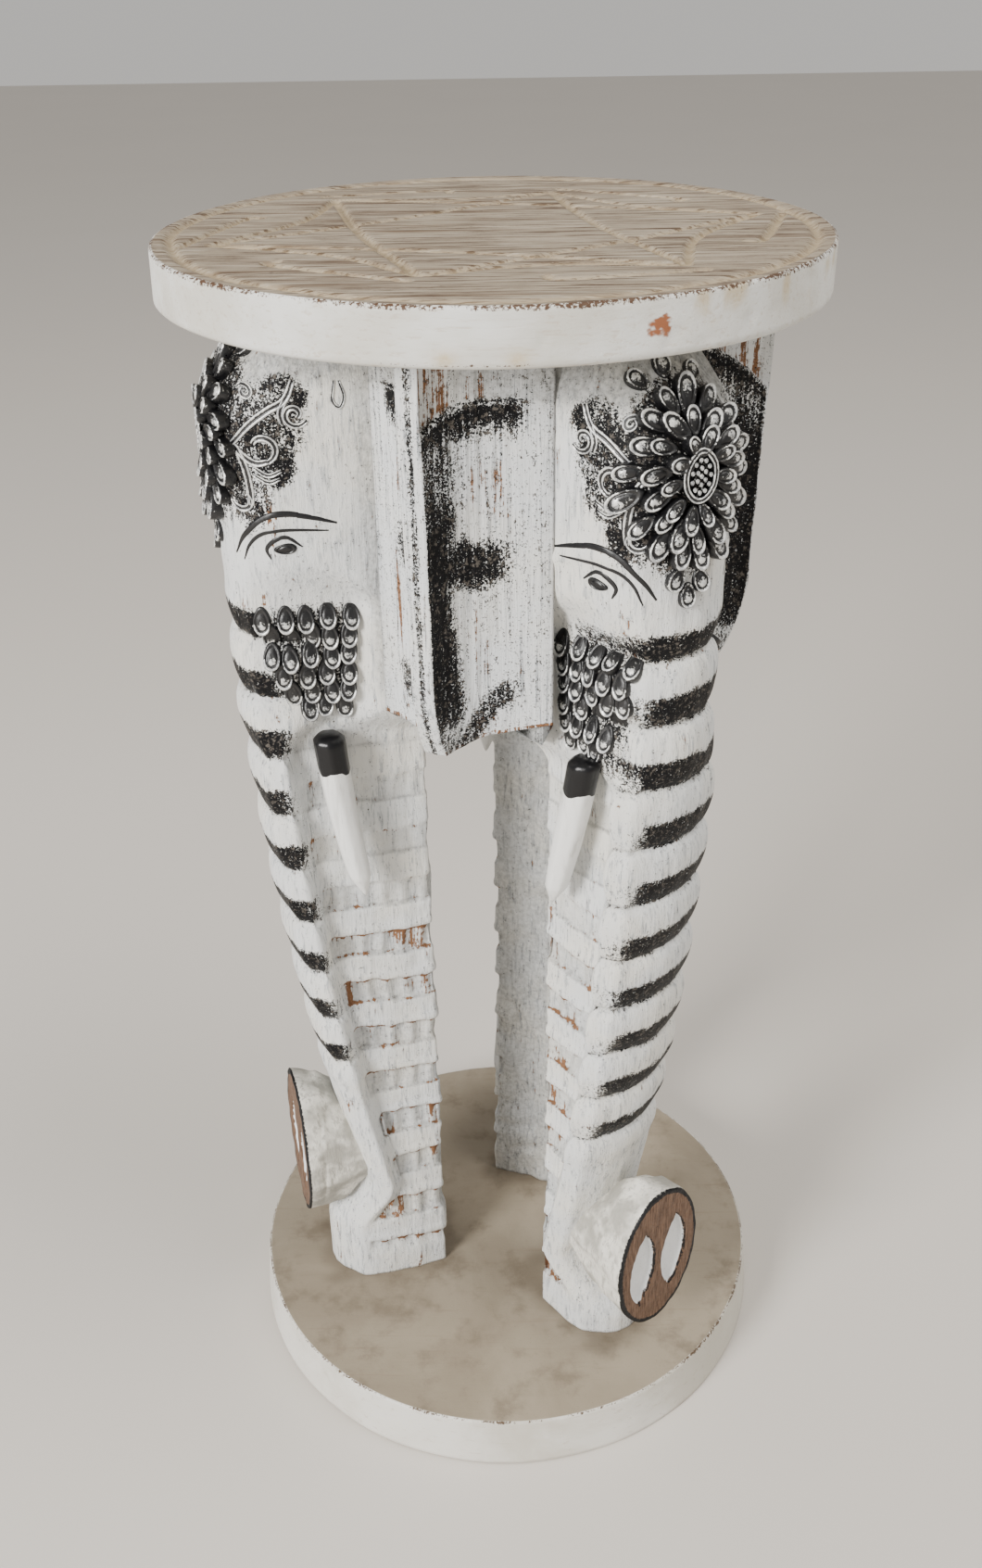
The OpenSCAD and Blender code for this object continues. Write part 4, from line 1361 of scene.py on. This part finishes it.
def top_surface():
    """The round top: its carved face, its chipped side and its paint marks."""
    columns = 520
    p, first_side, first_upper = disc_grid(TOP_UNDER, TOP_Z, TOP_R, TOP_R, columns, 112, 12, 1.2)
    x, y, z = p[..., 0], p[..., 1], p[..., 2]
    rows = np.arange(len(p))[:, None]
    on_face = (rows >= first_upper) * np.ones((1, columns))
    on_side = ((rows >= first_side) & (rows < first_upper)) * np.ones((1, columns))
    r = np.hypot(x, y)
    width = sizes().groove_width / MM
    gap = near_curves(x[first_upper:], y[first_upper:], star_curves())
    cut = np.zeros_like(x)
    hand = 0.85 + 0.4 * noise(x[first_upper:] / 25, y[first_upper:] / 25, 0, 131)
    cut[first_upper:] = (1 - ease(0.15 * width, 0.62 * width, gap)) * np.clip(hand, 0.35, 1)
    inner = r < TOP_R - 9
    cut = cut * inner
    wave = 1.2 * noise(x / 30, y / 30, 0 * x, 130)
    ring = np.exp(-(((r - (TOP_R - 7.5) + wave) / (0.45 * width)) ** 2)) * on_face
    groove = np.maximum(cut, 0.85 * ring)
    grain = 0.12 * noise(x / 30, y / 1.6, 0 * x, 132) * on_face
    p[..., 2] = z - sizes().groove_depth / MM * groove - (0.12 + grain) * on_face * (r < TOP_R - 1.3)
    wobble = 0.4 * noise(x / 26, y / 26, z / 30, 133) - 0.25
    dents = -0.4 * ease(0.45, 0.8, noise(x / 7, y / 7, z / 5, 134)) * on_side
    scale = 1 + (wobble + dents) * (r > TOP_R - 4) / TOP_R
    p[..., 0] *= scale
    p[..., 1] *= scale
    rim = np.exp(-(((r - TOP_R + 0.6) / 1.3) ** 2)) * (z > TOP_Z - 1.6)
    flaked = ease(-0.2, 0.35, noise(x / 20, y / 20, 0 * x, 135))
    low_rim = np.exp(-((z - TOP_UNDER - 1) ** 2)) * on_side * flaked
    wear = np.maximum(0.62 * rim, 0.5 * low_rim)
    bearing = np.degrees(np.arctan2(x, -y))
    drips = ease(0.15, 0.5, noise(bearing / 2.6, z / 8, 0 * x, 136)) * bump(22, 75, 10, bearing)
    drips = drips * ease(TOP_UNDER + 6, TOP_Z - 2, z + 3 * noise(bearing / 3, 0 * z, 0 * x, 137))
    filler = sum(
        np.exp(-(((bearing - b) / 1.6) ** 2 + ((z - TOP_UNDER - 3) / 2.4) ** 2)) for b in FILLED_HOLES
    )
    knot = np.exp(-(((bearing - KNOT_BEARING) / 2.4) ** 2 + ((z - TOP_UNDER - 9) / 4.5) ** 2)) * on_side
    marks = {
        "face": on_face * ease(TOP_R + 0.2, TOP_R - 1.0, r), "groove": np.clip(groove, 0, 1), "wear": wear,
        "stain": np.clip(0.75 * drips + 0.8 * filler, 0, 1) * on_side, "knot": 0.85 * knot,
    }
    return p.reshape(-1, 3), tube_faces(len(p), columns), marks


def base_surface():
    """The round base: its worn face, its side and painted shade round the feet."""
    columns = 320
    p, _, first_upper = disc_grid(0.0, BASE_Z, BASE_R, BASE_R - 2.0, columns, 70, 16, 1.2)
    x, y, z = p[..., 0], p[..., 1], p[..., 2]
    rows = np.arange(len(p))[:, None]
    on_face = (rows >= first_upper) * np.ones((1, columns))
    r = np.hypot(x, y)
    p[..., 2] = z - (0.10 + 0.10 * noise(x / 18, y / 18, 0 * x, 141)) * on_face * (r < BASE_R - 3.4)
    wobble = 0.35 * noise(x / 28, y / 28, z / 20, 142) - 0.35
    scale = 1 + wobble * (r > BASE_R - 6) / BASE_R
    p[..., 0] *= scale
    p[..., 1] *= scale
    rim = np.exp(-(((r - BASE_R + 2.6) / 0.9) ** 2)) * (z > BASE_Z - 1.4)
    # near_feet is painted shade on the base round each foot, stored in the shade mark
    near_feet = np.zeros_like(x)
    for i in HEADS:
        bearing = tip_place(i)[0]
        out = x * math.sin(bearing) - y * math.cos(bearing)
        across = x * math.cos(bearing) + y * math.sin(bearing)
        gap = np.hypot(np.maximum(np.abs(out - 58) - 28, 0), np.maximum(np.abs(across) - 17, 0))
        near_feet = np.maximum(near_feet, 1 - ease(0, 9, gap + 3 * noise(x / 6, y / 6, 0 * x, 143)))
    marks = {
        "face": on_face * ease(BASE_R - 1.8, BASE_R - 2.8, r), "wear": 0.6 * rim,
        "shade": 0.6 * near_feet * on_face,
    }
    return p.reshape(-1, 3), tube_faces(len(p), columns), marks


class PEDESTAL_OT_discs(bpy.types.Operator):
    """Turn the round top with its star, and the round base"""

    bl_idname = "pedestal.discs"
    bl_label = "Top and base"

    def execute(self, context):
        points, faces, marks = top_surface()
        add_piece("round_top", points, faces, marks, [top_finish()], "top_disc")
        points, faces, marks = base_surface()
        base = add_piece("round_base", points, faces, marks, [base_finish()], "base_disc")
        cut_screw_recesses(base)
        return {"FINISHED"}


SCREW_PLACES = (45.0, 68.0)
SCREW_HEAD_R = 4.9
SCREW_SHANK_R = 2.3
RECESS_DEPTH = 4.0


def cut_screw_recesses(base):
    """Opens the countersunk holes in the underside, so that the screws show."""
    points, faces = [], []
    steps = 24
    for i in HEADS:
        bearing = tip_place(i)[0]
        for out in SCREW_PLACES:
            middle = np.array([out * math.sin(bearing), -out * math.cos(bearing)])
            first = len(points)
            for z, r in ((-2.0, SCREW_HEAD_R), (1.0, SCREW_HEAD_R), (RECESS_DEPTH, SCREW_SHANK_R)):
                for k in range(steps):
                    a = 2 * math.pi * k / steps
                    points.append((*(middle + r * np.array([math.cos(a), math.sin(a)])), z))
            faces += tube_faces(3, steps, first)
    mesh = bpy.data.meshes.new("recess_cutter")
    mesh.from_pydata((np.array(points) * MM).tolist(), [], faces)
    cutter = bpy.data.objects.new("recess_cutter", mesh)
    bpy.context.scene.collection.objects.link(cutter)
    cut = base.modifiers.new("screw recesses", "BOOLEAN")
    cut.operation = "DIFFERENCE"
    cut.object = cutter
    cut.solver = "EXACT"
    bpy.context.view_layer.objects.active = base
    bpy.ops.object.modifier_apply(modifier=cut.name)
    bpy.data.objects.remove(cutter)


class PEDESTAL_OT_fasteners(bpy.types.Operator):
    """Give the dowels and screws their wood and steel"""

    bl_idname = "pedestal.fasteners"
    bl_label = "Dowels and screws"

    def execute(self, context):
        wood, steel = plain_wood(), screw_steel()
        finishes = {"top_dowels": wood, "ear_dowels": wood, "tip_dowels": wood, "base_screws": steel}
        for node, finish in finishes.items():
            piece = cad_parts[node]
            if not piece.material_slots:
                raise RuntimeError(f"{node} has no material slot")
            for slot in piece.material_slots:
                slot.material = finish
        return {"FINISHED"}


# ------------------------------------------------------------------- stage

CAMERA_PLACE = (0.0, -0.552, 0.5976)
CAMERA_PITCH = math.radians(30.05)
CAMERA_YAW = math.radians(-0.39)
CAMERA_ROLL = math.radians(-0.95)
CAMERA_LENS = 35.0
FLOOR_HALF_WIDTH = 6.0
ROOM_LIGHT = 0.70


def area_light(name, place, aim, size, power, tone):
    data = bpy.data.lights.new(name, "AREA")
    data.shape = "DISK"
    data.size = size
    data.energy = power
    data.color = tone
    light = bpy.data.objects.new(name, data)
    light.location = place
    light.rotation_euler = (Vector(aim) - Vector(place)).to_track_quat("-Z", "Y").to_euler()
    bpy.context.scene.collection.objects.link(light)


class PEDESTAL_OT_stage(bpy.types.Operator):
    """Set the floor, the soft light and the camera"""

    bl_idname = "pedestal.stage"
    bl_label = "Floor, light and camera"

    def execute(self, context):
        scene = context.scene
        mesh = bpy.data.meshes.new("floor")
        edge = FLOOR_HALF_WIDTH
        corners = [(-edge, -edge, 0), (edge, -edge, 0), (edge, edge, 0), (-edge, edge, 0)]
        mesh.from_pydata(corners, [], [(0, 1, 2, 3)])
        mesh.materials.append(floor_finish())
        floor = bpy.data.objects.new("floor", mesh)
        scene.collection.objects.link(floor)
        world = bpy.data.worlds.new("soft_room")
        world.use_nodes = True
        sky = world.node_tree.nodes["Background"]
        sky.inputs["Color"].default_value = (0.80, 0.78, 0.75, 1.0)
        sky.inputs["Strength"].default_value = ROOM_LIGHT
        scene.world = world
        area_light("window", (-1.5, -1.7, 1.25), (0, 0, 0.25), 0.9, 92, (1.0, 0.985, 0.96))
        area_light("ceiling", (0.9, -0.3, 1.9), (0, 0, 0.3), 1.2, 24, (1.0, 0.97, 0.92))
        data = bpy.data.cameras.new("camera")
        data.sensor_width = 36.0
        data.lens = CAMERA_LENS
        camera = bpy.data.objects.new("camera", data)
        camera.location = CAMERA_PLACE
        level = math.cos(CAMERA_PITCH)
        look = (math.sin(CAMERA_YAW) * level, math.cos(CAMERA_YAW) * level, -math.sin(CAMERA_PITCH))
        turn = Vector(look).to_track_quat("-Z", "Y")
        camera.rotation_mode = "QUATERNION"
        camera.rotation_quaternion = turn @ Quaternion((0, 0, 1), CAMERA_ROLL)
        scene.collection.objects.link(camera)
        scene.camera = camera
        return {"FINISHED"}


# ------------------------------------------------------------------- panel

STEPS = (
    PEDESTAL_OT_stage, PEDESTAL_OT_discs, PEDESTAL_OT_heads, PEDESTAL_OT_ears, PEDESTAL_OT_ornaments,
    PEDESTAL_OT_eyes, PEDESTAL_OT_tusks, PEDESTAL_OT_tips, PEDESTAL_OT_fasteners,
)


class PEDESTAL_PT_panel(bpy.types.Panel):
    """Lists the pedestal's pieces in the order in which they are made"""

    bl_idname = "PEDESTAL_PT_panel"
    bl_label = "Carved elephant pedestal"
    bl_space_type = "VIEW_3D"
    bl_region_type = "UI"
    bl_category = "Pedestal"

    def draw(self, context):
        for group in (context.scene.pedestal_sizes, context.scene.pedestal_colours):
            box = self.layout.box()
            for name in group.__annotations__:
                box.prop(group, name)
        for step in STEPS:
            self.layout.operator(step.bl_idname)


CLASSES = (PedestalSizes, PedestalColours, *STEPS, PEDESTAL_PT_panel)


def register():
    for item in CLASSES:
        bpy.utils.register_class(item)
    bpy.types.Scene.pedestal_sizes = PointerProperty(type=PedestalSizes)
    bpy.types.Scene.pedestal_colours = PointerProperty(type=PedestalColours)


def unregister():
    del bpy.types.Scene.pedestal_colours
    del bpy.types.Scene.pedestal_sizes
    for item in reversed(CLASSES):
        bpy.utils.unregister_class(item)


def main():
    register()
    for step in STEPS:
        group, name = step.bl_idname.split(".")
        if getattr(getattr(bpy.ops, group), name)() != {"FINISHED"}:
            raise RuntimeError(f"{step.bl_label} did not finish")


if __name__ == "__main__":
    main()
